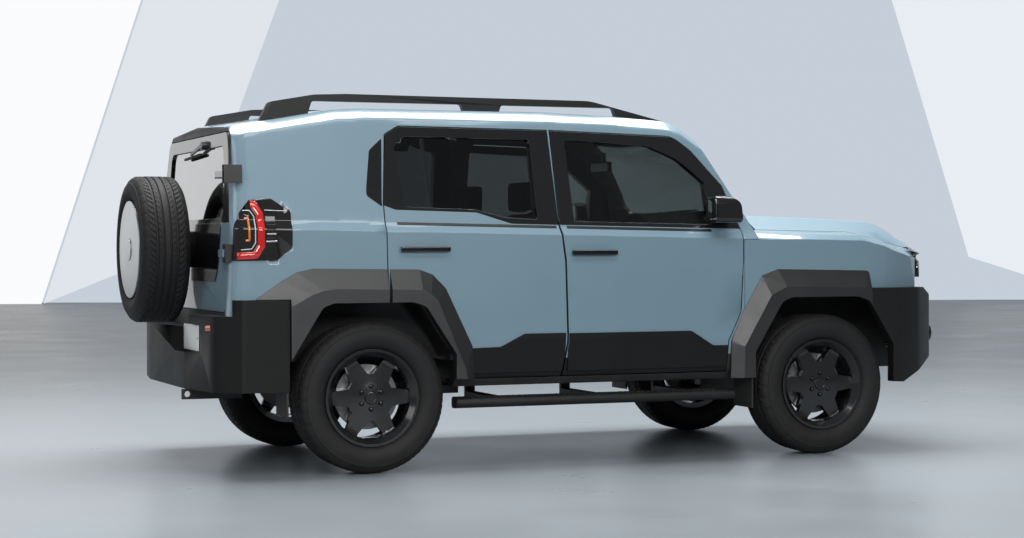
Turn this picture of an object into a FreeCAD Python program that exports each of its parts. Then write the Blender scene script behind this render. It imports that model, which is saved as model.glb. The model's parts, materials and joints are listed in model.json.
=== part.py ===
"""Lifted off-road 4x4, a five-door estate on a ladder frame, as separate named pieces.

Millimetres. Every shape is drawn in the axle frame: X forward from the rear axle, Y to the left,
Z up from the ground. Each finished piece is then placed in the part's frame, whose origin lies on
the ground under the middle of the vehicle.
"""
import FreeCAD, Part
import math
import os
from types import SimpleNamespace

V = FreeCAD.Vector
doc = FreeCAD.newDocument("offroad_4x4")

# ---------------------------------------------------------------- driving dimensions
# (alias, value, what it is)
DIMENSIONS = [
    ("wheelbase", 2580, "rear axle to front axle"),
    ("origin_ahead", 1200, "part origin ahead of the rear axle"),
    ("tyre_radius", 382, "tyre outside radius, which is also the hub height"),
    ("tyre_width", 258, "tyre section width"),
    ("rim_seat", 228, "radius where the tyre sits on the rim"),
    ("rim_width", 200, "rim width over its seats"),
    ("hub_bore", 30, "radius of the spindle that carries each wheel"),
    ("kingpin_inset", 60, "kingpin inboard of the wheel's middle plane"),
    ("tyre_inset", 23, "tyre sidewall inboard of the flare's outer face"),
    ("flare_half", 927.5, "half width over the wheel-arch flares"),
    ("body_half", 886, "half width at the belt crease"),
    ("glass_half", 736, "half width where the side glass meets the roof"),
    ("crease_z", 1228, "height of the belt crease at the rear axle"),
    ("belt_fall", 0.0195, "drop of the belt crease for each unit forward"),
    ("roof_z", 1848, "height of the roof edge at its highest"),
    ("roof_crown", 26, "rise of the roof from its edge to its middle"),
    ("sill_z", 462, "lower edge of the doors"),
    ("sill_under", 425, "underside of the sills"),
    ("floor_z", 556, "underside of the cabin floor"),
    ("floor_thick", 24, "cabin floor"),
    ("door_thick", 96, "side wall below the belt"),
    ("frame_thick", 42, "side wall and roof above the belt"),
    ("glass_inset", 12, "glass behind the outer surface"),
    ("glass_thick", 5, "window glass"),
    ("door_gap", 5, "shut line round every door, the hood and the back door"),
    ("door_rebate", 12, "inner part of a door inside its outer edge's shut line"),
    ("skin_flange", 14, "depth of a door's outer flange, outside its rebate"),
    ("cladding", 8, "moulded strips standing off the doors"),
    ("rear_overhang", 712, "rear axle to the back panel"),
    ("b_pillar_x", 1048, "line between the front and rear doors at mid height"),
    ("cowl_back", 484, "front door's leading edge behind the front axle"),
    ("nose_ahead", 720, "front axle to the front panel"),
    ("arch_clear", 43, "wheel-arch opening ahead of and behind the tyre"),
    ("arch_rise", 96, "wheel-arch opening above the tyre"),
    ("flare_wide", 118, "width of the flare's band"),
    ("rail_y", 412, "middle of each chassis rail"),
    ("rail_wide", 70, "chassis rail width"),
    ("rail_low", 440, "underside of the chassis rails"),
    ("rail_high", 550, "top of the chassis rails"),
    ("spare_z", 1130, "height of the spare wheel's middle"),
    ("spare_face", 1050, "rear axle to the spare tyre's outer face"),
    ("seat_z", 640, "underside of the seat cushions above the ground"),
]
sheet = doc.addObject("Spreadsheet::Sheet", "Dims")
sheet.set("A1", "name")
sheet.set("B1", "millimetres")
for row, (alias, value, note) in enumerate(DIMENSIONS, start=2):
    sheet.set("A%d" % row, alias)
    sheet.set("B%d" % row, str(value))
    sheet.set("C%d" % row, note)
    sheet.setAlias("B%d" % row, alias)
doc.recompute()
d = SimpleNamespace(**{alias: float(getattr(sheet, alias)) for alias, _, _ in DIMENSIONS})

# ---------------------------------------------------------------- places worked out from them
FRONT = d.wheelbase                                     # front axle
TRACK = d.flare_half - d.tyre_inset - d.tyre_width / 2  # wheel middle plane
KINGPIN = TRACK - d.kingpin_inset
HUB = d.tyre_radius
REAR = -d.rear_overhang
NOSE = FRONT + d.nose_ahead
DOOR_FRONT = FRONT - d.cowl_back
ARCH = d.tyre_radius + d.arch_clear
ARCH_TOP = HUB + d.tyre_radius + d.arch_rise
ROOF_FRONT = FRONT - 862                                # start of the windscreen header's curve
SCREEN_BASE = FRONT - 392                               # windscreen at the pillar, on the belt
SCREEN_LEAN = 0.722                                     # run back for each unit of rise
SCREEN_BOW = 140                                        # windscreen middle ahead of the pillars
SCREEN_Z = 1323                                         # height where SCREEN_BASE is measured
HOOD_HALF = 700                                         # half width of the hood
HOOD_THICK = 26
FENDER_THICK = 28
SEAT_GAP = 0.3                                          # between pieces that seat together


# ---------------------------------------------------------------- outlines and solids
def side(y):
    """Map an outline's (x, z) to the upright plane at y."""
    return lambda a, b: V(a, y, b)


def front(x, lean=0.0, z0=0.0):
    """Map an outline's (y, z) to the cross plane at x, leaning forward with height above z0."""
    return lambda a, b: V(x + lean * (b - z0), a, b)


def rear_lean(x):
    """A cross plane with the back panel's lean."""
    return front(x, 0.05, 1100)


def plan(z):
    """Map an outline's (x, y) to the level plane at z."""
    return lambda a, b: V(a, b, z)


def outline(points, place):
    """Closed wire through (a, b) corners; a third number rounds that corner with an arc."""
    corners = [(p[0], p[1], p[2] if len(p) > 2 else 0.0) for p in points]
    stops = []
    count = len(corners)
    for i, (a, b, radius) in enumerate(corners):
        if not radius:
            stops.append(((a, b), None, (a, b)))
            continue
        before = corners[i - 1]
        after = corners[(i + 1) % count]
        u = (before[0] - a, before[1] - b)
        w = (after[0] - a, after[1] - b)
        lu, lw = math.hypot(*u), math.hypot(*w)
        u, w = (u[0] / lu, u[1] / lu), (w[0] / lw, w[1] / lw)
        half = math.acos(max(-1.0, min(1.0, u[0] * w[0] + u[1] * w[1]))) / 2
        reach = radius / math.tan(half)
        limit = 0.49 * min(lu, lw)
        if reach > limit:
            reach, radius = limit, limit * math.tan(half)
        mid = (u[0] + w[0], u[1] + w[1])
        size = math.hypot(*mid)
        out = (radius / math.sin(half) - radius) / size
        stops.append(((a + u[0] * reach, b + u[1] * reach),
                      (a + mid[0] * out, b + mid[1] * out),
                      (a + w[0] * reach, b + w[1] * reach)))
    edges = []
    for i, (start, middle, end) in enumerate(stops):
        if middle:
            edges.append(Part.Arc(place(*start), place(*middle), place(*end)).toShape())
        following = stops[(i + 1) % count][0]
        if math.hypot(end[0] - following[0], end[1] - following[1]) > 1e-6:
            edges.append(Part.makeLine(place(*end), place(*following)))
    return Part.Wire(edges)


def prism(points, plane, low, high):
    """Extrude an outline drawn on side, front or plan from low to high."""
    face = Part.Face(outline(points, plane(low)))
    return face.extrude((plane(high)(0, 0) - plane(low)(0, 0)))


def grown(points, by):
    """The same outline moved outwards (or inwards) by a distance, corners kept."""
    area = sum(p[0] * q[1] - q[0] * p[1] for p, q in zip(points, points[1:] + points[:1]))
    turn = 1.0 if area > 0 else -1.0
    result = []
    for i, p in enumerate(points):
        a, c = points[i - 1], points[(i + 1) % len(points)]
        n1 = (turn * (p[1] - a[1]), -turn * (p[0] - a[0]))
        n2 = (turn * (c[1] - p[1]), -turn * (c[0] - p[0]))
        l1, l2 = math.hypot(*n1), math.hypot(*n2)
        n1, n2 = (n1[0] / l1, n1[1] / l1), (n2[0] / l2, n2[1] / l2)
        k = by / (1.0 + n1[0] * n2[0] + n1[1] * n2[1])
        radius = max(0.0, p[2] + by) if len(p) > 2 and p[2] else 0.0
        result.append((p[0] + k * (n1[0] + n2[0]), p[1] + k * (n1[1] + n2[1]), radius))
    return result


def box(x0, x1, y0, y1, z0, z1):
    return Part.makeBox(x1 - x0, y1 - y0, z1 - z0, V(x0, y0, z0))


def mirrored(shape):
    return shape.mirror(V(0, 0, 0), V(0, 1, 0))


def both(shape):
    """A piece and its mirror image."""
    return Part.makeCompound([shape, mirrored(shape)])


def biggest(shape):
    """The largest solid of a cut shape, without the slivers that the cut may leave."""
    return max(shape.Solids, key=lambda solid: solid.Volume)


def symmetric(half):
    """Close a half section, given from the bottom middle to the top middle, with its mirror."""
    return half + [(-p[0],) + tuple(p[1:]) for p in reversed(half) if p[0] > 0]


subparts = {}


def piece(node, shape):
    """A finished Part::Feature in the part's frame."""
    feature = doc.addObject("Part::Feature", node)
    feature.Label = node
    feature.Shape = shape
    feature.Placement = FreeCAD.Placement(V(-d.origin_ahead, 0, 0), FreeCAD.Rotation())
    subparts[node] = feature
    return feature


# ---------------------------------------------------------------- cab: one lofted body
# Each row is a cross section: x, forward lean, narrowing of the rounded rear corner, roof edge.
CAB_SECTIONS = [
    (REAR, 0.05, 74, d.roof_z - 104),
    (REAR + 10, 0.05, 42, d.roof_z - 102),
    (REAR + 30, 0.05, 20, d.roof_z - 98),
    (REAR + 75, 0.05, 3, d.roof_z - 88),
    (REAR + 190, 0.04, 0, d.roof_z - 72),
    (REAR + 560, 0.0, 0, d.roof_z - 12),
    (REAR + 700, 0.0, 0, d.roof_z - 2),
    (d.b_pillar_x - 40, 0.0, 0, d.roof_z),
    (ROOF_FRONT - 300, 0.0, 0, d.roof_z - 13),
    (ROOF_FRONT, 0.0, 0, d.roof_z - 33),
    (ROOF_FRONT + 75, 0.0, 0, d.roof_z - 55),
    (ROOF_FRONT + 160, 0.0, 0, d.roof_z - 110),
    (FRONT - 200, 0.0, 0, d.roof_z - 420),
]


def belt_at(x):
    return d.crease_z - d.belt_fall * x


def cab_section(x, lean, narrow, roof, upper, lower, low_z):
    """Half section of the cab, moved in by `upper` above the belt and `lower` below it."""
    belt = belt_at(x)
    body = d.body_half - narrow - lower
    roof = roof - upper
    glass_top = d.glass_half - upper - narrow
    half = [
        (0.0, low_z),
        (body - 50, low_z),
        (body - 18, low_z + 55),
        (body, low_z + 260),
        (body, belt - 10, 14),
        (body - 28 + 0.45 * (lower - upper), belt + 34, 14),
        (glass_top, roof - 52, 60),
        (glass_top - 78, roof, 60),
        (0.0, roof + d.roof_crown),
    ]
    return outline(symmetric(half), front(x, lean, 1100))


def cab_body(upper, lower, low_z, rear=0.0):
    """The cab's outside (upper = lower = 0), or the same form moved inwards."""
    rows = [row for row in CAB_SECTIONS if row[0] >= REAR + rear]
    if rear:
        rows = [(REAR + rear, 0.05, 0, rows[0][3])] + rows
    wires = [cab_section(*row, upper, lower, low_z) for row in rows]
    return Part.makeLoft(wires, True, True)


def screen_cut(inset):
    """Everything behind the bowed, leaning windscreen surface, moved back by inset."""
    z0, z1 = 300.0, 2000.0
    back = REAR - 400 + SCREEN_LEAN * (z1 - z0)
    edge = SCREEN_BASE - inset + SCREEN_LEAN * (SCREEN_Z - z0)
    corner = 1000.0
    bow = SCREEN_BOW * (corner / 660.0) ** 2
    middle = edge + SCREEN_BOW
    arc = Part.Arc(V(middle - bow, -corner, z0), V(middle, 0, z0), V(middle - bow, corner, z0))
    wire = Part.Wire([
        arc.toShape(),
        Part.makeLine(V(middle - bow, corner, z0), V(REAR - 400, corner, z0)),
        Part.makeLine(V(REAR - 400, corner, z0), V(REAR - 400, -corner, z0)),
        Part.makeLine(V(REAR - 400, -corner, z0), V(middle - bow, -corner, z0)),
    ])
    run = V(-SCREEN_LEAN * (z1 - z0), 0, z1 - z0)
    slab = Part.Face(wire).extrude(run)
    return slab.fuse(box(REAR - 400, 1200, -corner, corner, z0, z1)).removeSplitter()


cowl_x = FRONT - 392
cab_limit = box(REAR - 300, cowl_x, -1000, 1000, 0, 2100).fuse(
    box(cowl_x - 1, cowl_x + 150, -690, 690, 1258, 2100))
cab_outer = cab_body(0, 0, d.sill_under).common(screen_cut(0)).common(cab_limit)
inner_limit = box(REAR - 300, cowl_x - 60, -1000, 1000, 0, 2100)
cab_inner = cab_body(d.frame_thick, d.door_thick, d.sill_under - 60, rear=96)
cab_inner = cab_inner.common(screen_cut(46)).common(inner_limit)
glass_out = cab_body(d.glass_inset, d.glass_inset, d.sill_under)
glass_in = cab_body(d.glass_inset + d.glass_thick, d.glass_inset + d.glass_thick, d.sill_under)
glass_skin = glass_out.cut(glass_in)
cab_wall = cab_outer.cut(cab_inner)

# ---------------------------------------------------------------- wheel arches
def arch_outline(axle, grow=0.0):
    """The trapezoid opening over a wheel, closed far below the ground."""
    points = [
        (axle - ARCH - 10, -200.0), (axle - ARCH - 10, HUB + 190),
        (axle - 0.63 * ARCH, ARCH_TOP - 20, 60), (axle - 0.5 * ARCH, ARCH_TOP, 60),
        (axle + 0.48 * ARCH, ARCH_TOP, 60), (axle + 0.64 * ARCH, ARCH_TOP - 22, 60),
        (axle + ARCH + 8, HUB + 212), (axle + ARCH, -200.0),
    ]
    return grown(points, grow) if grow else points


rear_arch = prism(arch_outline(0, 14), side, 590, 1100)
front_arch = prism(arch_outline(FRONT, 14), side, 400, 1100)

# ---------------------------------------------------------------- door and window outlines
def door_top(x):
    """Height of the door frames' upper edge."""
    return d.roof_z - 91 - 0.014 * max(0.0, x - 500)


FRONT_DOOR = [
    (DOOR_FRONT - 97, d.sill_z), (DOOR_FRONT - 88, 632, 60), (DOOR_FRONT - 16, 785, 60),
    (DOOR_FRONT, 1060), (DOOR_FRONT, belt_at(DOOR_FRONT) + 30, 12),
    (DOOR_FRONT - 76, d.roof_z - 386), (DOOR_FRONT - 250, d.roof_z - 196, 120),
    (DOOR_FRONT - 362, door_top(DOOR_FRONT - 362) - 10, 160), (d.b_pillar_x - 33, door_top(1006)),
    (d.b_pillar_x - 22, belt_at(d.b_pillar_x) + 60), (d.b_pillar_x + 6, 1060),
    (d.b_pillar_x + 18, 640), (d.b_pillar_x - 16, d.sill_z),
]
REAR_DOOR = [
    (d.b_pillar_x - 16, d.sill_z), (d.b_pillar_x + 18, 640), (d.b_pillar_x + 6, 1060),
    (d.b_pillar_x - 22, belt_at(d.b_pillar_x) + 60), (d.b_pillar_x - 42, door_top(1006)),
    (182, door_top(175), 40), (104, door_top(96) - 45, 20), (72, 1362), (77, 1070),
    (86, ARCH_TOP + 14), (0.48 * ARCH, ARCH_TOP + 14, 60), (0.64 * ARCH + 12, ARCH_TOP - 10, 60),
    (ARCH + 22, HUB + 212), (ARCH + 16, d.sill_z),
]
FRONT_GLASS = [
    (1117, 1269), (FRONT - 662, 1254), (FRONT - 670, 1478), (FRONT - 831, 1606, 200),
    (FRONT - 1006, 1676, 200), (1097, 1697, 20),
]
REAR_GLASS = [
    (190, 1340, 30), (560, 1330, 60), (720, 1290, 60), (910, 1277, 20), (900, 1697, 20),
    (200, 1702, 60), (152, 1650, 30),
]

# ---------------------------------------------------------------- body shell
FLOOR_HALF = d.body_half - d.door_thick - 6            # clear of the doors' inner faces
WALL_IN = d.body_half - d.door_thick
windscreen_hole = [(-700, 1335, 60), (700, 1335, 60), (590, d.roof_z - 88, 90),
                   (-590, d.roof_z - 88, 90)]
BACK_DOOR = [(-772, 815, 40), (772, 815, 40), (790, 1190), (676, d.roof_z - 128, 60),
             (-676, d.roof_z - 128, 60), (-790, 1190)]
BACK_GLASS = [(-640, 1285, 50), (640, 1285, 50), (590, 1650, 60), (-590, 1650, 60)]
TAIL_LAMP = [(REAR - 60, 1379), (-510, 1380, 20), (-414, 1316, 20), (-415, 1139, 20),
             (-493, 1076, 20), (REAR - 60, 1072)]


def side_holes(points):
    """Cutters through both side walls."""
    cutter = prism(points, side, 300, 1100)
    return cutter.fuse(mirrored(cutter))


pillar_gap = d.door_gap + 4
pillar_zone = cab_body(d.frame_thick + pillar_gap, d.door_thick + pillar_gap, d.floor_z - 20)
pillar_zone = pillar_zone.fuse(
    cab_body(d.frame_thick - 1, d.door_thick, d.floor_z - 20).common(
        box(0, FRONT, 400, 900, door_top(d.b_pillar_x) + 10, d.roof_z)))
pillar_zone = pillar_zone.common(box(d.b_pillar_x - 62, d.b_pillar_x + 46, 400, 900,
                                     d.floor_z + d.floor_thick, d.roof_z))
pillar_inner = cab_body(d.frame_thick + pillar_gap + 46, d.door_thick + pillar_gap + 26,
                        d.floor_z - 40)
lamp_zone = prism(TAIL_LAMP, side, 838, 920)
lamp_inner = cab_body(46, 46, d.sill_under - 60, rear=46)
shell = cab_wall.cut(side_holes(FRONT_DOOR)).cut(side_holes(REAR_DOOR))
shell = shell.cut(box(REAR + 97, cowl_x + 200, -700, 700, 0, d.floor_z))
shell = shell.cut(rear_arch).cut(mirrored(rear_arch))
shell = shell.cut(prism(windscreen_hole, front, 1500, 2500))
shell = shell.cut(prism(BACK_DOOR, front, REAR - 200, REAR + 97))
nose_step = box(DOOR_FRONT + 3, cowl_x + 1, 640, 1000, 0, belt_at(DOOR_FRONT) - 12)
shell = shell.cut(nose_step).cut(mirrored(nose_step))
shell = shell.cut(prism(arch_outline(FRONT, 14), side, -1100, 1100))
lamp_pocket = lamp_zone.cut(lamp_inner)
shell = shell.cut(lamp_pocket).cut(mirrored(lamp_pocket))
for sign in (1, -1):
    sill = box(ARCH + 40, DOOR_FRONT - 130, 720, 800, d.sill_under, d.sill_z - d.door_gap)
    riser = box(ARCH + 40, DOOR_FRONT - 130, 720, FLOOR_HALF, d.sill_under, d.floor_z)
    inner_sill = sill.fuse(riser)
    for low, high in ((ARCH + 60, d.b_pillar_x - 160), (d.b_pillar_x + 60, DOOR_FRONT - 180)):
        inner_sill = inner_sill.fuse(
            box(low, high, 720, WALL_IN - SEAT_GAP, d.floor_z - 30, d.floor_z))
    post = pillar_zone.cut(pillar_inner)
    inner_sill = inner_sill.fuse(post)
    shell = shell.fuse(inner_sill if sign > 0 else mirrored(inner_sill))
back_seal = prism([(-600, 780), (740, 780), (740, 842), (-600, 842)], rear_lean,
                  REAR + 96 + SEAT_GAP, REAR + 110)
back_seal = back_seal.fuse(prism([(-600, 780), (740, 780), (740, 812), (-600, 812)], rear_lean,
                                 REAR + 90, REAR + 110))
shell = shell.fuse(back_seal)
piece("body_shell", biggest(shell.removeSplitter()))

screen_shell = screen_cut(10).cut(screen_cut(16)).common(glass_out)
glass_outline = grown(windscreen_hole, -SEAT_GAP)
piece("windshield", biggest(screen_shell.common(prism(glass_outline, front, 1500, 2500))))

lamp_skin = cab_body(-10, -10, d.sill_under).cut(lamp_inner)
lamp_body = biggest(lamp_skin.common(prism(grown(TAIL_LAMP, -SEAT_GAP), side, 838.5, 920)))
piece("tail_lamps", both(lamp_body))

# ---------------------------------------------------------------- side doors
skin_proud = cab_body(-d.cladding, -d.cladding, d.sill_under - 20).cut(cab_outer)
flange_in = cab_body(d.skin_flange, d.skin_flange, d.sill_under - 20)


def door_panel(points, window):
    """A door: the cab wall inside the shut line, rebated inside, with its window cut out."""
    panel = cab_wall.common(prism(grown(points, -d.door_gap), side, 300, 1100))
    panel = panel.cut(box(0, FRONT, 0, WALL_IN, 0, 900))
    rebate = flange_in.cut(prism(grown(points, -d.door_rebate), side, 300, 1100))
    return biggest(panel.cut(rebate).cut(prism(window, side, 300, 1100)))


def window_pane(window):
    return biggest(glass_skin.common(prism(grown(window, -SEAT_GAP), side, 300, 1100)))


def handle(x0, x1, z):
    """Pull handle: a bar on two posts that stand on the door skin."""
    skin = d.body_half
    bar = prism([(skin + 16, z - 14, 6), (skin + 34, z - 12, 8), (skin + 34, z + 12, 8),
                 (skin + 16, z + 14, 6)], front, x0, x1)
    for x in (x0 + 4, x1 - 34):
        bar = bar.fuse(box(x, x + 30, skin, skin + 20, z - 9, z + 9))
    return bar


FRONT_CLADDING = [
    (d.b_pillar_x + 16, 492), (DOOR_FRONT - 104, 492), (DOOR_FRONT - 98, 607),
    (DOOR_FRONT - 186, 607, 30), (DOOR_FRONT - 320, 688, 30), (d.b_pillar_x + 20, 688),
]
REAR_CLADDING = [
    (ARCH + 24, 492), (d.b_pillar_x - 4, 492), (d.b_pillar_x + 2, 690),
    (820, 690, 30), (690, 624, 30), (ARCH + 24, 618),
]
for name, points, window, clad, grip in (
        ("front", FRONT_DOOR, FRONT_GLASS, FRONT_CLADDING, (1085, 1335, 1107)),
        ("rear", REAR_DOOR, REAR_GLASS, REAR_CLADDING, (145, 405, 1128))):
    panel, pane = door_panel(points, window), window_pane(window)
    strip = skin_proud.common(prism(clad, side, 300, 1100))
    strip = biggest(strip.common(prism(grown(points, -d.door_gap - 2), side, 300, 1100)))
    piece(name + "_door_left", panel)
    piece(name + "_door_right", mirrored(panel))
    piece(name + "_glass_left", pane)
    piece(name + "_glass_right", mirrored(pane))
    solids = [strip, handle(*grip)]
    if name == "rear":
        rear_trim = solids
        continue
    piece("front_trim_left", Part.makeCompound(solids))
    piece("front_trim_right", mirrored(Part.makeCompound(solids)))

# ---------------------------------------------------------------- nose: fenders and hood
# Each row: x, narrowing, fall of the fender crease, hood height above the belt line.
NOSE_SECTIONS = [
    (DOOR_FRONT + 5, 0, 0, 130), (FRONT + 260, 0, 0, 116), (FRONT + 400, 12, 28, 112),
    (FRONT + 500, 50, 56, 108), (FRONT + 555, 78, 66, 98), (FRONT + 620, 110, 80, 70),
    (FRONT + 690, 150, 95, 30), (NOSE + 30, 190, 110, 5),
]


def nose_body(inset, low_z):
    """The hood and fenders' outside, moved in by inset."""
    wires = []
    for x, narrow, fall, rise in NOSE_SECTIONS:
        wide = d.body_half - narrow - inset
        crease = belt_at(x) - fall - inset
        hood = belt_at(x) + rise - inset
        half = [
            (0.0, low_z), (wide - 50, low_z), (wide - 18, low_z + 55), (wide, low_z + 260),
            (wide, crease - 6, 12), (wide - 45, crease + 24, 20), (HOOD_HALF + 6, crease + 40),
            (HOOD_HALF - 70, 0.35 * crease + 0.65 * hood - 8, 30), (HOOD_HALF - 190, hood, 80),
            (0.0, hood + 12),
        ]
        wires.append(outline(symmetric(half), front(x)))
    return Part.makeLoft(wires, True, True)


nose_outer = nose_body(0, d.sill_under)
nose_skin = nose_outer.cut(nose_body(FENDER_THICK, d.sill_under - 40))
HOOD_BACK = cowl_x + 40
HOOD_NOSE = NOSE - 40
hood_zone = box(cowl_x - 50, HOOD_NOSE, -HOOD_HALF + 3, HOOD_HALF - 3, 1128, 1500)
hood_zone = hood_zone.fuse(box(HOOD_NOSE - 1, NOSE + 20, -HOOD_HALF + 3, HOOD_HALF - 3, 1152, 1500))
hood_zone = hood_zone.cut(screen_cut(-18))
piece("hood", biggest(nose_skin.common(hood_zone)))

fender_zone = box(DOOR_FRONT + 5, HOOD_NOSE, HOOD_HALF + 2, 1000, 400, belt_at(DOOR_FRONT) - 14)
fender_zone = fender_zone.fuse(box(cowl_x + 2, HOOD_NOSE, HOOD_HALF + 2, 1000, 1100, 1400))
fender = nose_skin.common(fender_zone).cut(front_arch)
fender = biggest(fender.cut(box(FRONT + 290, NOSE + 100, 600, 1000, 0, 905)))
APRON_Y = d.rail_y + d.rail_wide / 2 - 12
apron = box(cowl_x, HOOD_NOSE - 10, APRON_Y, APRON_Y + 12, d.rail_high, 1120)
ledge = box(cowl_x + 2, HOOD_NOSE - 10, APRON_Y, HOOD_HALF + 20, 1096, 1120)
ledge = ledge.common(nose_body(FENDER_THICK - 2, d.sill_under))
buffer = Part.makeCylinder(12, 300, V(FRONT + 100, HOOD_HALF - 60, 1110))
buffer = buffer.common(nose_body(FENDER_THICK + SEAT_GAP, d.sill_under))
fender = fender.fuse(ledge).fuse(apron).fuse(buffer)
piece("front_fenders", both(biggest(fender)))

front_grille = box(HOOD_NOSE, NOSE + 4, -620, 620, 905, 1145)
for row in range(4):
    z = 935 + row * 50
    front_grille = front_grille.cut(box(HOOD_NOSE, NOSE + 10, -380, 380, z, z + 26))
front_grille = front_grille.fuse(box(HOOD_NOSE, HOOD_NOSE + 12, -400, 400, 905, 1145))
piece("front_grille", front_grille.common(nose_outer))

lamp = box(HOOD_NOSE, NOSE + 16, 430, 720, 960, 1140)
lamp = lamp.common(nose_body(4, d.sill_under))
lamp_box = box(HOOD_NOSE - 60, HOOD_NOSE, 470, 690, 975, 1110).common(
    nose_body(FENDER_THICK + 2, d.sill_under - 40))
front_face = biggest(front_grille.common(nose_outer).cut(box(0, 4000, 429.5, 900, 950, 1150)))
front_face = biggest(front_face.cut(box(0, 4000, -900, -429.5, 950, 1150)))
subparts["front_grille"].Shape = front_face
subparts["front_grille"].Placement = FreeCAD.Placement(V(-d.origin_ahead, 0, 0),
                                                       FreeCAD.Rotation())
piece("headlights", both(biggest(lamp)))

cowl = box(cowl_x, HOOD_BACK + 130, -688, 688, 1130, 1165)
cowl = cowl.fuse(box(cowl_x, cowl_x + 12, -688, 688, 1130, 1258)).cut(cab_outer)
piece("cowl_panel", biggest(cowl))

# ---------------------------------------------------------------- bumpers
def symmetric_plan(half):
    """Close a half plan outline, given from one end to the middle, with its mirror."""
    return half + [(p[0], -p[1]) + tuple(p[2:]) for p in reversed(half) if p[1] > 0]


front_plan = [
    (FRONT + 293, 928), (FRONT + 480, 912, 80), (FRONT + 640, 850, 120),
    (FRONT + 813, 700, 140), (FRONT + 870, 330, 300),
]
bumper_top = 905
bumper_side = [
    (FRONT + 250, 395), (FRONT + 560, 380), (FRONT + 870, 545, 60), (FRONT + 870, 815, 60),
    (FRONT + 745, bumper_top), (FRONT + 250, bumper_top),
]
bumper = prism(symmetric_plan(front_plan), plan, 300, 1000)
bumper = bumper.common(prism(bumper_side, side, -1000, 1000))
bumper_hollow = prism(grown(symmetric_plan(front_plan), -60), plan, 300, bumper_top - 28)
bumper = bumper.cut(bumper_hollow.fuse(box(FRONT, FRONT + 400, -868, 868, 300, bumper_top - 28)))
bumper = bumper.cut(prism(arch_outline(FRONT, 0), side, -1000, 1000))
bumper = bumper.cut(box(FRONT, NOSE + 10, -HOOD_HALF, HOOD_HALF, bumper_top - 30, 1000))
bumper = bumper.cut(fender).cut(mirrored(fender))
piece("front_bumper", biggest(bumper))

rear_plan = [(-432, 906), (REAR + 40, 904, 60), (REAR - 78, 800, 80), (REAR - 138, 420, 200)]
bumper = prism(symmetric_plan(rear_plan), plan, d.sill_under, 880)
bumper = bumper.cut(cab_outer).cut(box(-2000, REAR + 2, -1000, 1000, 800, 1000))
bumper = bumper.cut(box(-2000, REAR + 2, -480, 480, 732, 1000))
bumper = bumper.cut(box(REAR + 60, 0, -850, 850, 0, 1000))
bumper = bumper.cut(box(REAR - 70, REAR + 90, -760, 760, 0, 700))
bumper = bumper.cut(box(REAR - 200, REAR - 100, -640, -200, 610, 760))
bumper = bumper.cut(prism(arch_outline(0), side, -1000, 1000))
PLATE_Y, PLATE_Z, PLATE_HOLES = -420, 685, 300
for offset in (-PLATE_HOLES / 2, PLATE_HOLES / 2):
    bumper = bumper.cut(Part.makeCylinder(3, 60, V(REAR - 110, PLATE_Y + offset, PLATE_Z), V(1, 0, 0)))
rear_bumper = bumper
piece("rear_bumper", biggest(bumper))

# ---------------------------------------------------------------- flares
def flare(outer, crease, axle, body):
    """A band that stands off the body: two outlines joined by a sloping face."""
    edge = outline(outer, side(d.body_half - 30))
    lip = outline(outer, side(d.body_half + 3))
    ridge = outline(crease, side(d.flare_half))
    band = Part.makeLoft([edge, lip, ridge], True, True)
    return band.cut(prism(arch_outline(axle), side, 0, 1100)).cut(body)


FLARE_FOOT = 430.0
FRONT_FLARE = [
    (DOOR_FRONT - 83, FLARE_FOOT), (DOOR_FRONT - 76, 632), (DOOR_FRONT - 6, 790),
    (FRONT - 373, 979), (FRONT - 279, 1012), (FRONT + 275, 1001), (FRONT + 364, 957),
    (FRONT + 464, 894), (FRONT + 470, FLARE_FOOT),
]
FRONT_CREASE = [
    (FRONT - 505, FLARE_FOOT), (FRONT - 500, 600), (FRONT - 420, 735),
    (FRONT - 337, 873), (FRONT - 243, 917), (FRONT + 257, 908), (FRONT + 325, 872),
    (FRONT + 430, 800), (FRONT + 436, FLARE_FOOT),
]
REAR_FLARE = [
    (548, FLARE_FOOT), (532, 633), (389, 928), (319, 997), (249, 1024), (-311, 1032),
    (-392, 1015), (-471, 971), (-600, 883), (-600, FLARE_FOOT),
]
REAR_CREASE = [
    (500, FLARE_FOOT), (482, 520), (337, 863), (298, 900), (253, 923), (-199, 932),
    (-262, 924), (-320, 905), (-420, 850), (-425, FLARE_FOOT),
]
front_band = flare(FRONT_FLARE, FRONT_CREASE, FRONT, nose_outer.fuse(cab_outer))
split = FRONT + 292
band = biggest(front_band.common(box(0, split, 0, 1100, 0, 1100)))
piece("front_flares", both(band))
rear_band = flare(REAR_FLARE, REAR_CREASE, 0, cab_outer)
rear_part = rear_band.common(box(-430, 77, 0, 1100, 0, 1100))
rear_part = rear_part.fuse(rear_band.common(box(-1000, -429, 0, 1100, 881, 1100)))
piece("rear_flares", both(biggest(rear_part)))
door_part = biggest(rear_band.common(box(92, 1000, 0, 1100, d.sill_z + 5, 1100)))
rear_trim = [rear_trim[0].cut(door_part), rear_trim[1], door_part]
piece("rear_trim_left", Part.makeCompound(rear_trim))
piece("rear_trim_right", mirrored(Part.makeCompound(rear_trim)))

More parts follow.
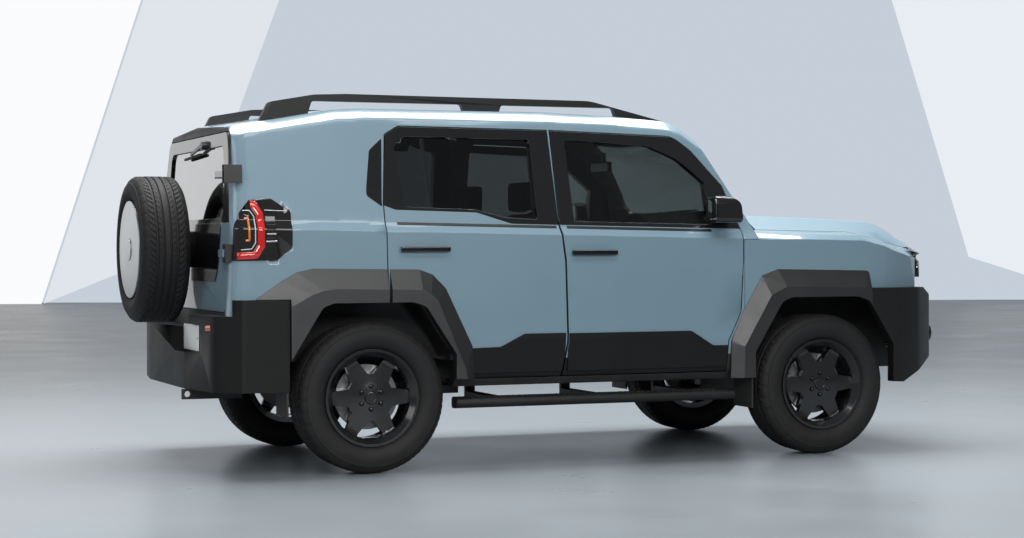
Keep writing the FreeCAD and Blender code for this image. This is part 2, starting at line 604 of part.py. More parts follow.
# ---------------------------------------------------------------- rails, steps, mudflaps
RAIL_SPAN = [(-510, 1780), (-464, 1871, 30), (-229, 1913, 200), (-61, 1920, 200),
             (ROOF_FRONT - 420, 1915, 300), (ROOF_FRONT + 11, 1815), (ROOF_FRONT + 11, 1750),
             (-510, 1750)]
rail = prism(RAIL_SPAN, side, 598, 640)
for x0, x1 in ((-240, 570), (790, ROOF_FRONT - 280)):
    rail = rail.cut(prism([(x0 - 60, 1700), (x0, 1881, 20), (x1, 1881, 20), (x1 + 60, 1700)],
                          side, 500, 700))
piece("roof_rails", both(biggest(rail.cut(cab_outer))))

step = prism([(812, 312, 20), (905, 318, 24), (905, 366, 24), (812, 375, 20)], front,
             ARCH + 20, DOOR_FRONT - 66)
for x in (650, 1200, 1750):
    step = step.fuse(box(x, x + 50, d.rail_y + d.rail_wide / 2, 840, 340, 372))
    step = step.fuse(box(x, x + 50, d.rail_y + d.rail_wide / 2, d.rail_y + d.rail_wide / 2 + 30,
                         340, 500))
piece("side_steps", both(step))

front_flap = box(FRONT - ARCH - 24, FRONT - ARCH - 15, 700, 905, 267, 560)
front_flap = front_flap.cut(front_band)
rear_flap = box(-ARCH - 24, -ARCH - 15, 700, 900, 300, 560).cut(rear_bumper)
piece("mudflaps", Part.makeCompound([front_flap, mirrored(front_flap), rear_flap,
                                     mirrored(rear_flap)]))

# ---------------------------------------------------------------- floor and chassis
floor = box(REAR + 60, cowl_x - 60, -FLOOR_HALF, FLOOR_HALF, d.floor_z, d.floor_z + d.floor_thick)
floor = floor.common(cab_inner)
well = prism(arch_outline(0, 26), side, 590, FLOOR_HALF).cut(box(-900, 900, 0, 1000, -300, d.floor_z))
for shape in (well, mirrored(well)):
    floor = floor.fuse(shape)
hollow = prism(arch_outline(0, 14), side, 602, 1100)
floor = floor.cut(hollow).cut(mirrored(hollow))
front_well = prism(arch_outline(FRONT, 14), side, 300, 1100)
floor = floor.cut(front_well).cut(mirrored(front_well))
piece("floor_pan", biggest(floor))

frame = None
for sign in (1, -1):
    low, high = sorted((sign * (d.rail_y - d.rail_wide / 2), sign * (d.rail_y + d.rail_wide / 2)))
    bar = box(REAR + 97, FRONT + 760, low, high, d.rail_low, d.rail_high)
    frame = bar if frame is None else frame.fuse(bar)
for x in (REAR + 97, -330, 420, 1000, 1420, FRONT + 420, FRONT + 700):
    frame = frame.fuse(box(x, x + 60, -d.rail_y, d.rail_y, 506, d.rail_high))
frame = frame.fuse(box(FRONT + 740, FRONT + 810 - SEAT_GAP, -300, 300, 470, 560))
TOW_X, TOW_Z, TOW_R = REAR - 123, 396, 16
tow_eye = box(TOW_X - 28, REAR + 160, -d.rail_y - 10, -d.rail_y + 10, TOW_Z - 26, TOW_Z + 26)
tow_eye = tow_eye.fuse(box(REAR + 100, REAR + 160, -d.rail_y - 10, -d.rail_y + 10, TOW_Z, d.rail_low))
frame = frame.fuse(tow_eye)
frame = frame.cut(Part.makeCylinder(TOW_R, 40, V(TOW_X, -d.rail_y - 20, TOW_Z), V(0, 1, 0)))
piece("ladder_frame", frame.removeSplitter())

# ---------------------------------------------------------------- sheet-bound primitives
def bound(kind, name, **formulas):
    """A Part primitive whose sizes follow the sheet."""
    obj = doc.addObject("Part::" + kind, name)
    for prop, formula in formulas.items():
        obj.setExpression(prop.replace("_", "."), formula)
    return obj


def fused(node, members):
    """A Part::MultiFuse sub-part made from bound primitives."""
    fuse = doc.addObject("Part::MultiFuse", node)
    fuse.Label = node
    fuse.Shapes = members
    fuse.Placement = FreeCAD.Placement(V(-d.origin_ahead, 0, 0), FreeCAD.Rotation())
    subparts[node] = fuse
    return fuse


def rod(name, x, y, z, radius, length, axis):
    """A cylinder from (x, y, z), each a sheet formula, along axis X, Y or Z."""
    turn = {"X": ("0", "1", "0", "90"), "Y": ("-1", "0", "0", "90"), "Z": ("0", "0", "1", "0")}[axis]
    obj = bound("Cylinder", name, Radius=radius, Height=length)
    obj.setExpression("Placement.Base.x", x)
    obj.setExpression("Placement.Base.y", y)
    obj.setExpression("Placement.Base.z", z)
    obj.Placement.Rotation = FreeCAD.Rotation(V(*map(float, turn[:3])), float(turn[3]))
    return obj


def slab(name, x, y, z, length, width, height):
    obj = bound("Box", name, Length=length, Width=width, Height=height)
    obj.setExpression("Placement.Base.x", x)
    obj.setExpression("Placement.Base.y", y)
    obj.setExpression("Placement.Base.z", z)
    return obj


TRACK_F = "(Dims.flare_half - Dims.tyre_inset - Dims.tyre_width / 2)"
KING_F = "(%s - Dims.kingpin_inset)" % TRACK_F
HUB_F = "Dims.tyre_radius"
RAIL_OUT = "(Dims.rail_y + Dims.rail_wide / 2)"
RAIL_IN = "(Dims.rail_y - Dims.rail_wide / 2)"

members = [rod("axle_tube", "0", "-%s + 110" % TRACK_F, HUB_F, "42", "2 * %s - 220" % TRACK_F, "Y"),
           rod("axle_diff", "0", "-70", HUB_F, "130", "200", "Y"),
           rod("axle_nose", "0", "30", HUB_F, "60", "175", "X"),
           rod("spindles", "0", "-%s - 18" % TRACK_F, HUB_F, "Dims.hub_bore",
               "2 * %s + 36" % TRACK_F, "Y")]
for sign, tag in ((1, "left"), (-1, "right")):
    y = "%d * Dims.rail_y" % sign
    members.append(rod("spring_" + tag, "0", y, HUB_F, "46", "Dims.rail_low - Dims.tyre_radius", "Z"))
    members.append(slab("arm_" + tag, "0", y + " - 25", HUB_F + " - 20", "620", "50", "44"))
    members.append(slab("hanger_" + tag, "570", y + " - 25", HUB_F + " - 20", "50", "50",
                        "Dims.rail_low - Dims.tyre_radius + 20"))
fused("rear_axle", members)

members = [slab("subframe", "Dims.wheelbase - 70", "-" + RAIL_OUT, "250", "140",
                "2 * " + RAIL_OUT, "Dims.rail_low - 250")]
for sign, tag in ((1, "left"), (-1, "right")):
    y0 = RAIL_OUT if sign > 0 else "-" + KING_F + " + 34"
    run = "%s - %s - 34" % (KING_F, RAIL_OUT)
    members.append(slab("lower_arm_" + tag, "Dims.wheelbase - 50", y0, "256", "100", run, "26"))
    members.append(slab("upper_arm_" + tag, "Dims.wheelbase - 32", y0, "512", "64", run, "22"))
suspension = doc.addObject("Part::MultiFuse", "arm_blanks")
suspension.Shapes = members
doc.recompute()
arms = suspension.Shape.copy()
for sign in (1, -1):
    for z0, z1 in ((256, 282), (512, 534)):
        eye = Part.makeCylinder(42, z1 - z0, V(FRONT, sign * KINGPIN, z0))
        arms = arms.fuse(eye)
    arms = arms.cut(Part.makeCylinder(26.3, 400, V(FRONT, sign * KINGPIN, 200)))
piece("front_suspension", arms.removeSplitter())

for sign, tag in ((1, "left"), (-1, "right")):
    post = Part.makeCylinder(26, 276, V(FRONT, sign * KINGPIN, 258))
    carrier = Part.makeCylinder(52, 78, V(FRONT, sign * (KINGPIN - 42), HUB), V(0, sign, 0))
    spindle = Part.makeCylinder(d.hub_bore, 100, V(FRONT, sign * (TRACK - 82), HUB), V(0, sign, 0))
    caliper = box(FRONT - 195, FRONT - 120, TRACK - 66, TRACK + 14, HUB - 38, HUB + 38)
    caliper = caliper.cut(Part.makeCylinder(171, 33, V(FRONT, TRACK - 23, HUB), V(0, 1, 0)))
    strap = box(FRONT - 130, FRONT, TRACK - 66, TRACK - 46, HUB - 30, HUB + 30)
    caliper = caliper.fuse(strap)
    caliper = caliper if sign > 0 else mirrored(caliper)
    piece("knuckle_" + tag, post.fuse(carrier).fuse(spindle).fuse(caliper).removeSplitter())

# ---------------------------------------------------------------- wheels
def sketch_profile(body, name, points):
    """A fully bound polygon in a body's YZ plane; each corner is a pair of sheet formulas."""
    sketch = body.newObject("Sketcher::SketchObject", name)
    yz = [f for f in body.Origin.OriginFeatures if f.Role == "YZ_Plane"][0]
    sketch.AttachmentSupport = [(yz, "")]
    sketch.MapMode = "FlatFace"
    Constraint = __import__("Sketcher").Constraint
    count = len(points)
    for i in range(count):
        (a0, b0), (a1, b1) = points[i][0], points[(i + 1) % count][0]
        sketch.addGeometry(Part.LineSegment(V(a0, b0, 0), V(a1, b1, 0)), False)
    for i in range(count):
        sketch.addConstraint(Constraint("Coincident", i, 2, (i + 1) % count, 1))
    for i, (_, (formula_a, formula_b)) in enumerate(points):
        for kind, formula in (("DistanceX", formula_a), ("DistanceY", formula_b)):
            index = sketch.addConstraint(Constraint(kind, -1, 1, i, 1, 1.0))
            sketch.setExpression("Constraints[%d]" % index, formula)
    return sketch


W, R, S, RW = d.tyre_width / 2, d.tyre_radius, d.rim_seat, d.rim_width / 2
hub = "Dims.hub_bore + 0.05"
RIM_PROFILE = [  # axial, outboard positive; radial
    ((-18, 30), "-18", hub), ((-18, 165), "-18", "165"), ((4, 165), "4", "165"),
    ((4, 84), "4", "84"), ((40, 84), "40", "84"), ((36, 196), "36", "Dims.rim_seat - 32"),
    ((10, 212), "10", "Dims.rim_seat - 16"),
    ((-RW, 212), "-Dims.rim_width / 2", "Dims.rim_seat - 16"),
    ((-RW, 242), "-Dims.rim_width / 2", "Dims.rim_seat + 14"),
    ((-RW + 8, 242), "-Dims.rim_width / 2 + 8", "Dims.rim_seat + 14"),
    ((-RW + 8, S), "-Dims.rim_width / 2 + 8", "Dims.rim_seat"),
    ((RW - 4, S), "Dims.rim_width / 2 - 4", "Dims.rim_seat"),
    ((RW - 4, 246), "Dims.rim_width / 2 - 4", "Dims.rim_seat + 18"),
    ((RW + 6, 246), "Dims.rim_width / 2 + 6", "Dims.rim_seat + 18"),
    ((RW + 6, 232), "Dims.rim_width / 2 + 6", "Dims.rim_seat + 4"),
    ((RW - 20, 208), "Dims.rim_width / 2 - 20", "Dims.rim_seat - 20"),
    ((64, 196), "64", "Dims.rim_seat - 32"), ((74, 84), "74", "84"), ((80, 40), "80", "40"),
    ((80, 0), "80", "0"), ((24, 0), "24", "0"), ((24, 30), "24", hub),
]
TYRE_PROFILE = [
    ((-91, S), "-Dims.rim_width / 2 + 9", "Dims.rim_seat + 0.3"),
    ((-91, S + 19), "-Dims.rim_width / 2 + 9", "Dims.rim_seat + 19"),
    ((-112, S + 30), "-Dims.tyre_width / 2 + 17", "Dims.rim_seat + 30"),
    ((-W, S + 74), "-Dims.tyre_width / 2", "Dims.rim_seat + 74"),
    ((-W + 4, S + 112), "-Dims.tyre_width / 2 + 4", "Dims.tyre_radius - 42"),
    ((-W + 20, R - 14), "-Dims.tyre_width / 2 + 20", "Dims.tyre_radius - 14"),
    ((-W + 42, R - 3), "-Dims.tyre_width / 2 + 42", "Dims.tyre_radius - 3"),
    ((-40, R), "-40", "Dims.tyre_radius"), ((40, R), "40", "Dims.tyre_radius"),
    ((W - 42, R - 3), "Dims.tyre_width / 2 - 42", "Dims.tyre_radius - 3"),
    ((W - 20, R - 14), "Dims.tyre_width / 2 - 20", "Dims.tyre_radius - 14"),
    ((W - 4, S + 112), "Dims.tyre_width / 2 - 4", "Dims.tyre_radius - 42"),
    ((W, S + 74), "Dims.tyre_width / 2", "Dims.rim_seat + 74"),
    ((112, S + 30), "Dims.tyre_width / 2 - 17", "Dims.rim_seat + 30"),
    ((91, S + 19), "Dims.rim_width / 2 - 9", "Dims.rim_seat + 19"),
    ((91, S), "Dims.rim_width / 2 - 9", "Dims.rim_seat + 0.3"),
]


def turned(node, profile, x, y, z, flip):
    """A PartDesign body turned about the wheel's axle."""
    body = doc.addObject("PartDesign::Body", node)
    body.Label = node
    corners = [(p[0], (p[1], p[2])) for p in profile]
    sketch = sketch_profile(body, node + "_profile", corners)
    turn = body.newObject("PartDesign::Revolution", node + "_turn")
    turn.Profile = sketch
    turn.ReferenceAxis = (sketch, ["H_Axis"])
    turn.Angle = 360
    sketch.Visibility = False
    body.Tip = turn
    rotation = FreeCAD.Rotation(V(0, 0, 1), 180 if flip else 0)
    body.Placement = FreeCAD.Placement(V(x - d.origin_ahead, y, z), rotation)
    subparts[node] = body
    return body


# node ending, axle x, side
WHEELS = [("front_left", FRONT, 1), ("front_right", FRONT, -1), ("rear_left", 0, 1),
          ("rear_right", 0, -1)]
for tag, x, sign in WHEELS:
    turned("rim_" + tag, RIM_PROFILE, x, sign * TRACK, HUB, sign < 0)
    turned("tyre_" + tag, TYRE_PROFILE, x, sign * TRACK, HUB, sign < 0)
doc.recompute()
WINDOW = [(118, 0), (150, 26), (197, 68, 12), (206, 0), (197, -68, 12), (150, -26)]
for tag, x, sign in WHEELS:
    rim = subparts["rim_" + tag]
    sketch = rim.newObject("Sketcher::SketchObject", "window_" + tag)
    xz = [f for f in rim.Origin.OriginFeatures if f.Role == "XZ_Plane"][0]
    sketch.AttachmentSupport = [(xz, "")]
    sketch.MapMode = "FlatFace"
    corners = [(120, -16), (120, 16), (192, 74), (203, 40), (203, -40), (192, -74)]
    for p, q in zip(corners, corners[1:] + corners[:1]):
        angle = math.radians(30)
        turn = lambda c: V(c[0] * math.cos(angle) - c[1] * math.sin(angle),
                           c[0] * math.sin(angle) + c[1] * math.cos(angle), 0)
        sketch.addGeometry(Part.LineSegment(turn(p), turn(q)), False)
    doc.recompute()
    before = rim.Shape.Volume
    pocket = rim.newObject("PartDesign::Pocket", "pocket_" + tag)
    pocket.Profile = sketch
    pocket.Type = 0
    pocket.Length = 90
    pocket.Length2 = 0
    for reverse in (False, True):
        pocket.Reversed = reverse
        doc.recompute()
        if rim.Shape.Volume < before - 1000:
            break
    pattern = rim.newObject("PartDesign::PolarPattern", "windows_" + tag)
    pattern.Originals = [pocket]
    y_axis = [f for f in rim.Origin.OriginFeatures if f.Role == "Y_Axis"][0]
    pattern.Axis = (y_axis, [""])
    pattern.Angle = 360
    pattern.Occurrences = 6
    rim.Tip = pattern
    sketch.Visibility = False
doc.recompute()

# ---------------------------------------------------------------- back door and spare wheel
back = cab_wall.common(prism(grown(BACK_DOOR, -d.door_gap), front, REAR - 200, REAR + 95))
back_rebate = prism(grown(BACK_DOOR, 40), rear_lean, REAR + d.skin_flange, REAR + 200)
back_rebate = back_rebate.cut(prism(grown(BACK_DOOR, -d.door_rebate), front, REAR - 200, REAR + 300))
back = biggest(back.cut(back_rebate).cut(prism(BACK_GLASS, front, REAR - 200, REAR + 95)))
SPARE_X = -d.spare_face + d.tyre_width / 2
carrier = Part.makeCylinder(95, REAR + 40 - SPARE_X - 95, V(REAR + 40, 0, d.spare_z), V(-1, 0, 0))
back = back.fuse(carrier)
HINGE_X, HINGE_Y, HINGE_R = REAR - 20, -797, 12
body_hinges = []
for z in (1110, 1500):
    skin_x = REAR + 0.05 * (z - 1100)
    centre = V(HINGE_X, HINGE_Y, z)
    pin = Part.makeCylinder(5, 96, centre.sub(V(0, 0, 48)))
    leaf = box(HINGE_X - 6, skin_x + 40, HINGE_Y - 34, HINGE_Y - 13, z - 45, z + 45)
    link = box(HINGE_X - 6, HINGE_X + 6, HINGE_Y - 30, HINGE_Y, z - 45, z + 45)
    link = link.cut(box(HINGE_X - 40, HINGE_X + 40, HINGE_Y - 12 - 3, HINGE_Y + 60, z - 19, z + 19))
    knuckle = link.fuse(leaf.cut(cab_outer)).fuse(pin)
    for low in (z - 45, z + 19):
        knuckle = knuckle.fuse(Part.makeCylinder(HINGE_R, 26, V(HINGE_X, HINGE_Y, low)))
    body_hinges.append(biggest(knuckle))
    door_edge = 772 + 18 * (z - 815) / 375 if z < 1190 else 790 - 114 * (z - 1190) / 530
    foot = 14 - door_edge
    strap = Part.makeCylinder(HINGE_R, 36, V(HINGE_X, HINGE_Y, z - 18))
    strap = strap.fuse(box(HINGE_X - 6, HINGE_X + 6, HINGE_Y + 6, foot + 90, z - 18, z + 18))
    strap = strap.fuse(box(HINGE_X, skin_x + 6, foot, foot + 90, z - 18, z + 18))
    strap = strap.cut(Part.makeCylinder(5.05, 200, V(HINGE_X, HINGE_Y, z - 100)))
    back = back.fuse(strap)
piece("back_door_hinges", Part.makeCompound(body_hinges))
piece("back_door", biggest(back))
glass_slab = prism([(REAR + 0.05 * 100 + 12, 1200), (REAR + 0.05 * 100 + 17, 1200),
                    (REAR + 0.05 * 700 + 17, 1800), (REAR + 0.05 * 700 + 12, 1800)],
                   side, -700, 700)
piece("back_glass", glass_slab.common(
    prism(grown(BACK_GLASS, -SEAT_GAP), front, REAR - 200, REAR + 95)))
spare = turned("spare_tyre", TYRE_PROFILE, SPARE_X, 0, d.spare_z, False)
spare.Placement.Rotation = FreeCAD.Rotation(V(0, 0, 1), 90)
rim_ring = Part.makeCylinder(d.rim_seat, d.rim_width - 10, V(SPARE_X + 95, 0, d.spare_z), V(-1, 0, 0))
rim_ring = rim_ring.cut(Part.makeCylinder(d.rim_seat - 14, 150, V(SPARE_X + 100, 0, d.spare_z),
                                          V(-1, 0, 0)))
rim_ring = rim_ring.fuse(Part.makeCylinder(d.rim_seat - 10, 14, V(SPARE_X + 95, 0, d.spare_z),
                                           V(-1, 0, 0)))
piece("spare_rim", rim_ring)
cover = None
for radius, start, end in ((205, 95, 118), (252, 115, 124), (58, 120, 129)):
    disc = Part.makeCylinder(radius, end - start, V(SPARE_X - start, 0, d.spare_z), V(-1, 0, 0))
    cover = disc if cover is None else cover.fuse(disc)
piece("spare_cover", cover)

# ---------------------------------------------------------------- mirrors
mirror = prism([(855, 1262), (1000, 1262, 30), (1000, 1400, 40), (880, 1414, 30), (862, 1330)],
               front, FRONT - 700, FRONT - 548)
mirror = mirror.common(prism([(FRONT - 715, 1240), (FRONT - 545, 1240, 40),
                              (FRONT - 560, 1380, 60), (FRONT - 700, 1420, 30)], side, 800, 1100))
foot = box(FRONT - 660, FRONT - 590, 838, 880, 1262, 1300).cut(cab_outer)
mirror = mirror.cut(cab_outer).fuse(foot)
piece("mirror_left", biggest(mirror))
piece("mirror_right", mirrored(biggest(mirror)))

# ---------------------------------------------------------------- power train and tank
engine = box(FRONT - 280, FRONT + 320, -270, 270, 590, 1040)
engine = engine.makeChamfer(40, [e for e in engine.Edges if abs(e.Vertexes[0].Z - 1040) < 1
                                 and abs(e.Vertexes[1].Z - 1040) < 1])
for sign in (1, -1):
    y0, y1 = sorted((sign * 250, sign * (d.rail_y - d.rail_wide / 2)))
    engine = engine.fuse(box(FRONT - 60, FRONT + 60, y0, y1, d.rail_low + 60, d.rail_low + 100)
                         .fuse(box(FRONT - 60, FRONT + 60, min(y0, y1), max(y0, y1), 500, 640)))
engine = engine.fuse(box(FRONT - 1080, FRONT - 270, -130, 130, 385, 545))
engine = engine.fuse(box(FRONT - 300, FRONT - 200, -130, 130, 445, 700))
piece("engine_block", engine.removeSplitter())

shaft_start = V(FRONT - 1082, 0, 442)
shaft_end = V(210, 30, HUB)
run = shaft_end.sub(shaft_start)
piece("propeller_shaft", Part.makeCylinder(34, run.Length, shaft_start, run))
piece("fuel_tank", box(500, 990, 120, d.rail_y - d.rail_wide / 2 - 0.3, 380, 552))
pipe = Part.makeCylinder(27, FRONT - 1000 + 560, V(-560, -260, 466), V(1, 0, 0))
pipe = pipe.fuse(box(-545, -345, -350, -130, 430, 545))
pipe = pipe.fuse(box(-500, -460, -d.rail_y + d.rail_wide / 2, -340, 470, 500))
piece("exhaust", pipe)

# ---------------------------------------------------------------- cabin
def seat(x, y0, y1):
    """Cushion, back and head restraint of one seat place, on its plinth."""
    base = d.floor_z + d.floor_thick
    cushion = prism([(x, d.seat_z, 20), (x + 500, d.seat_z + 20, 40), (x + 500, d.seat_z + 130, 50),
                     (x, d.seat_z + 110, 20)], side, y0, y1)
    back_rest = prism([(x - 20, d.seat_z + 60, 30), (x + 110, d.seat_z + 100, 30),
                       (x - 20, 1330, 50), (x - 120, 1330, 50)], side, y0, y1)
    middle = (y0 + y1) / 2
    head = prism([(x - 105, 1325), (x - 45, 1325), (x - 50, 1490, 30), (x - 130, 1490, 30)],
                 side, middle - 125, middle + 125)
    plinth = box(x + 60, x + 440, y0 + 60, y1 - 60, base, d.seat_z + 40)
    return cushion.fuse(back_rest).fuse(head).fuse(plinth)


piece("front_seats", both(seat(1080, 130, 640)))
bench = seat(300, -560, 560)
for y in (-400, 400):
    bench = bench.fuse(seat(300, y - 160, y + 160))
piece("rear_seat", bench.removeSplitter())

dash = prism([(cowl_x - 60, 1180), (FRONT - 690, 1160, 40), (FRONT - 780, 1080, 60),
              (FRONT - 700, 860, 60), (cowl_x - 60, 700)], side, -765, 765)
column_at = V(FRONT - 962, -370, 1150)
column_axis = V(-math.cos(math.radians(28)), 0, math.sin(math.radians(28)))
column = Part.makeCylinder(26, 222 - SEAT_GAP, column_at.sub(V(column_axis).multiply(250)),
                           column_axis)
dash = dash.common(cab_inner).fuse(column)
piece("dashboard", biggest(dash))
wheel = Part.makeTorus(182, 14, column_at, column_axis)
hub_disc = Part.makeCylinder(62, 30, column_at.sub(V(column_axis).multiply(28)), column_axis)
wheel = wheel.fuse(hub_disc)
for angle in (0, 180, 270):
    across = FreeCAD.Rotation(column_axis, angle).multVec(V(0, 1, 0))
    spoke = Part.makeCylinder(12, 182, column_at.sub(V(column_axis).multiply(8)), across)
    wheel = wheel.fuse(spoke)
piece("steering_wheel", wheel)

# ---------------------------------------------------------------- check and write
os.makedirs("parts", exist_ok=True)
doc.recompute()
for obj in doc.Objects:
    if "Invalid" in obj.State or "Error" in obj.State:
        raise RuntimeError("%s did not compute" % obj.Label)
for node, obj in subparts.items():
    if obj.Shape.isNull() or not obj.Shape.isValid():
        raise RuntimeError("%s has no valid shape" % node)
for node, obj in subparts.items():
    obj.Shape.exportStep("parts/%s.step" % node)
    bound = obj.Shape.BoundBox
    print("%-22s solids %d  x %.0f..%.0f  y %.0f..%.0f  z %.0f..%.0f  %.1f l" % (
        node, len(obj.Shape.Solids), bound.XMin, bound.XMax, bound.YMin, bound.YMax,
        bound.ZMin, bound.ZMax, obj.Shape.Volume / 1e6))
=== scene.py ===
# %% [markdown]
# # A lifted off-road 4x4, dressed for a studio picture
#
# The CAD part gives every rigid piece its shape and place. This lesson adds what
# a drawing office leaves out: paint, grained plastic, rubber, tinted glass,
# cushions and the small fittings. Each cell does one job, and later cells reuse
# the tools of earlier ones.
#
# Lengths are metres. X runs forwards, Y to the left and Z up, as in the CAD.

# %% Load the frame and keep its size
import json
import math

import bmesh
import bpy
import numpy as np
from mathutils import Matrix, Vector
from mathutils.bvhtree import BVHTree


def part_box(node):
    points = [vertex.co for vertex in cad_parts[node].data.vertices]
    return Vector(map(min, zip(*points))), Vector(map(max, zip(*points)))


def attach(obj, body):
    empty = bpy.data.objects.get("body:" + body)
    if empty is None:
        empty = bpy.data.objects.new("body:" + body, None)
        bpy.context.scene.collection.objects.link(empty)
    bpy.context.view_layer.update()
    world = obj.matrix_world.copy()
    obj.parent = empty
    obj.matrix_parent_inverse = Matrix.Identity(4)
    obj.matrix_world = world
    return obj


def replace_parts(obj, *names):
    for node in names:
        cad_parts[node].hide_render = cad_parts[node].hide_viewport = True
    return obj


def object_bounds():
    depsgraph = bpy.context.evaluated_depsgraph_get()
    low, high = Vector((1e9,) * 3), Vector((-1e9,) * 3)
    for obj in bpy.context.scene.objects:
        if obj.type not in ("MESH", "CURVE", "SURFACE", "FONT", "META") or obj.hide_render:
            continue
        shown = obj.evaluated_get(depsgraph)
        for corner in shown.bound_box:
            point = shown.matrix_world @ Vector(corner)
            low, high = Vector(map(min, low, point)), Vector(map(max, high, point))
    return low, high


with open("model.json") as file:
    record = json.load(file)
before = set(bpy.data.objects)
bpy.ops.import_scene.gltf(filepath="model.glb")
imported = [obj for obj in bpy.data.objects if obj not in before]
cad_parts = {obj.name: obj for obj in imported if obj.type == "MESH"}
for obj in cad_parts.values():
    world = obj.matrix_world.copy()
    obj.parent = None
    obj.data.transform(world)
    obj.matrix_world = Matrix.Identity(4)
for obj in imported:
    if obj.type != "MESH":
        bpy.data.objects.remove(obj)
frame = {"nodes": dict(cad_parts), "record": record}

CAD_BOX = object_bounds()
print("the CAD model measures", [round(b - a, 3) for a, b in zip(*CAD_BOX)], "m")
BODY_OF = {node: body for body, nodes in frame["record"]["behaviour"]["bodies"].items()
           for node in nodes}
SIDES = {"left": 1, "right": -1}

# %% [markdown]
# ## Measures
#
# Positions come from the CAD boxes. The few numbers below describe forms that
# only the looks need.

# %% Named measures
WHEELS = ["front_left", "front_right", "rear_left", "rear_right"]


def middle(node):
    low, high = (Vector(corner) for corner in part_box(node))
    return (low + high) / 2


def half(node):
    low, high = (Vector(corner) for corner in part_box(node))
    return (high - low) / 2


TYRE_R = half("tyre_rear_right").z
TYRE_W = 2 * half("tyre_rear_right").y
REAR_AXLE = middle("rim_rear_right").x
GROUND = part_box("tyre_rear_right")[0][2]
BELT_Z, BELT_FALL = 1.228, 0.0195          # crease between door panel and window frame


def belt(x):
    """Height of the crease under the windows, at a distance along the car."""
    return BELT_Z - BELT_FALL * (x - REAR_AXLE)


print("rear axle at", round(REAR_AXLE, 3), "m, ground at", round(GROUND, 3), "m")

# %% [markdown]
# ## Shared shader groups
#
# Each group hands back only a colour, a mask or a normal. The Principled node
# stays in the material, where a reader expects it.

# %% Helpers for node trees and objects
def new_group(name, inputs, outputs, kind="ShaderNodeTree"):
    """A node group with named sockets, and its input and output nodes."""
    tree = bpy.data.node_groups.new(name, kind)
    for label, form, value in inputs:
        socket = tree.interface.new_socket(label, in_out="INPUT", socket_type=form)
        if value is not None:
            socket.default_value = value
    for label, form in outputs:
        tree.interface.new_socket(label, in_out="OUTPUT", socket_type=form)
    start = tree.nodes.new("NodeGroupInput")
    end = tree.nodes.new("NodeGroupOutput")
    start.location, end.location = (-700, 0), (700, 0)
    return tree, start, end


def put(tree, kind, x=0, y=0, **settings):
    """A node at a place. Capitalised settings are input values, the others its own."""
    node = tree.nodes.new(kind)
    node.location = (x, y)
    for key, value in settings.items():
        if key[0].isupper():
            node.inputs[key.replace("_", " ")].default_value = value
        else:
            setattr(node, key, value)
    return node


def wire(tree, *links):
    """Joins sockets: each link names a node and its output, a node and its input."""
    for source, way_out, target, way_in in links:
        tree.links.new(source.outputs[way_out], target.inputs[way_in])


def shown(name, data):
    """A new object in the scene."""
    made = bpy.data.objects.new(name, data)
    bpy.context.scene.collection.objects.link(made)
    return made

# %% Group: moulded surface (soft edges and a fine grain)
def moulded_group():
    tree, start, end = new_group(
        "Moulded surface",
        [("Grain scale", "NodeSocketFloat", 600.0), ("Grain depth", "NodeSocketFloat", 0.1),
         ("Edge radius", "NodeSocketFloat", 0.003)],
        [("Normal", "NodeSocketVector")])
    place = put(tree, "ShaderNodeTexCoord", -700, -250)
    noise = put(tree, "ShaderNodeTexNoise", -400, -150, Detail=3.0)
    soft = put(tree, "ShaderNodeBevel", -150, 150, samples=4)
    bump = put(tree, "ShaderNodeBump", 250, 0, Distance=0.0006)
    wire(tree, (place, "Object", noise, "Vector"), (start, "Grain scale", noise, "Scale"),
         (start, "Edge radius", soft, "Radius"), (noise, "Fac", bump, "Height"),
         (start, "Grain depth", bump, "Strength"), (soft, "Normal", bump, "Normal"),
         (bump, "Normal", end, "Normal"))
    return tree

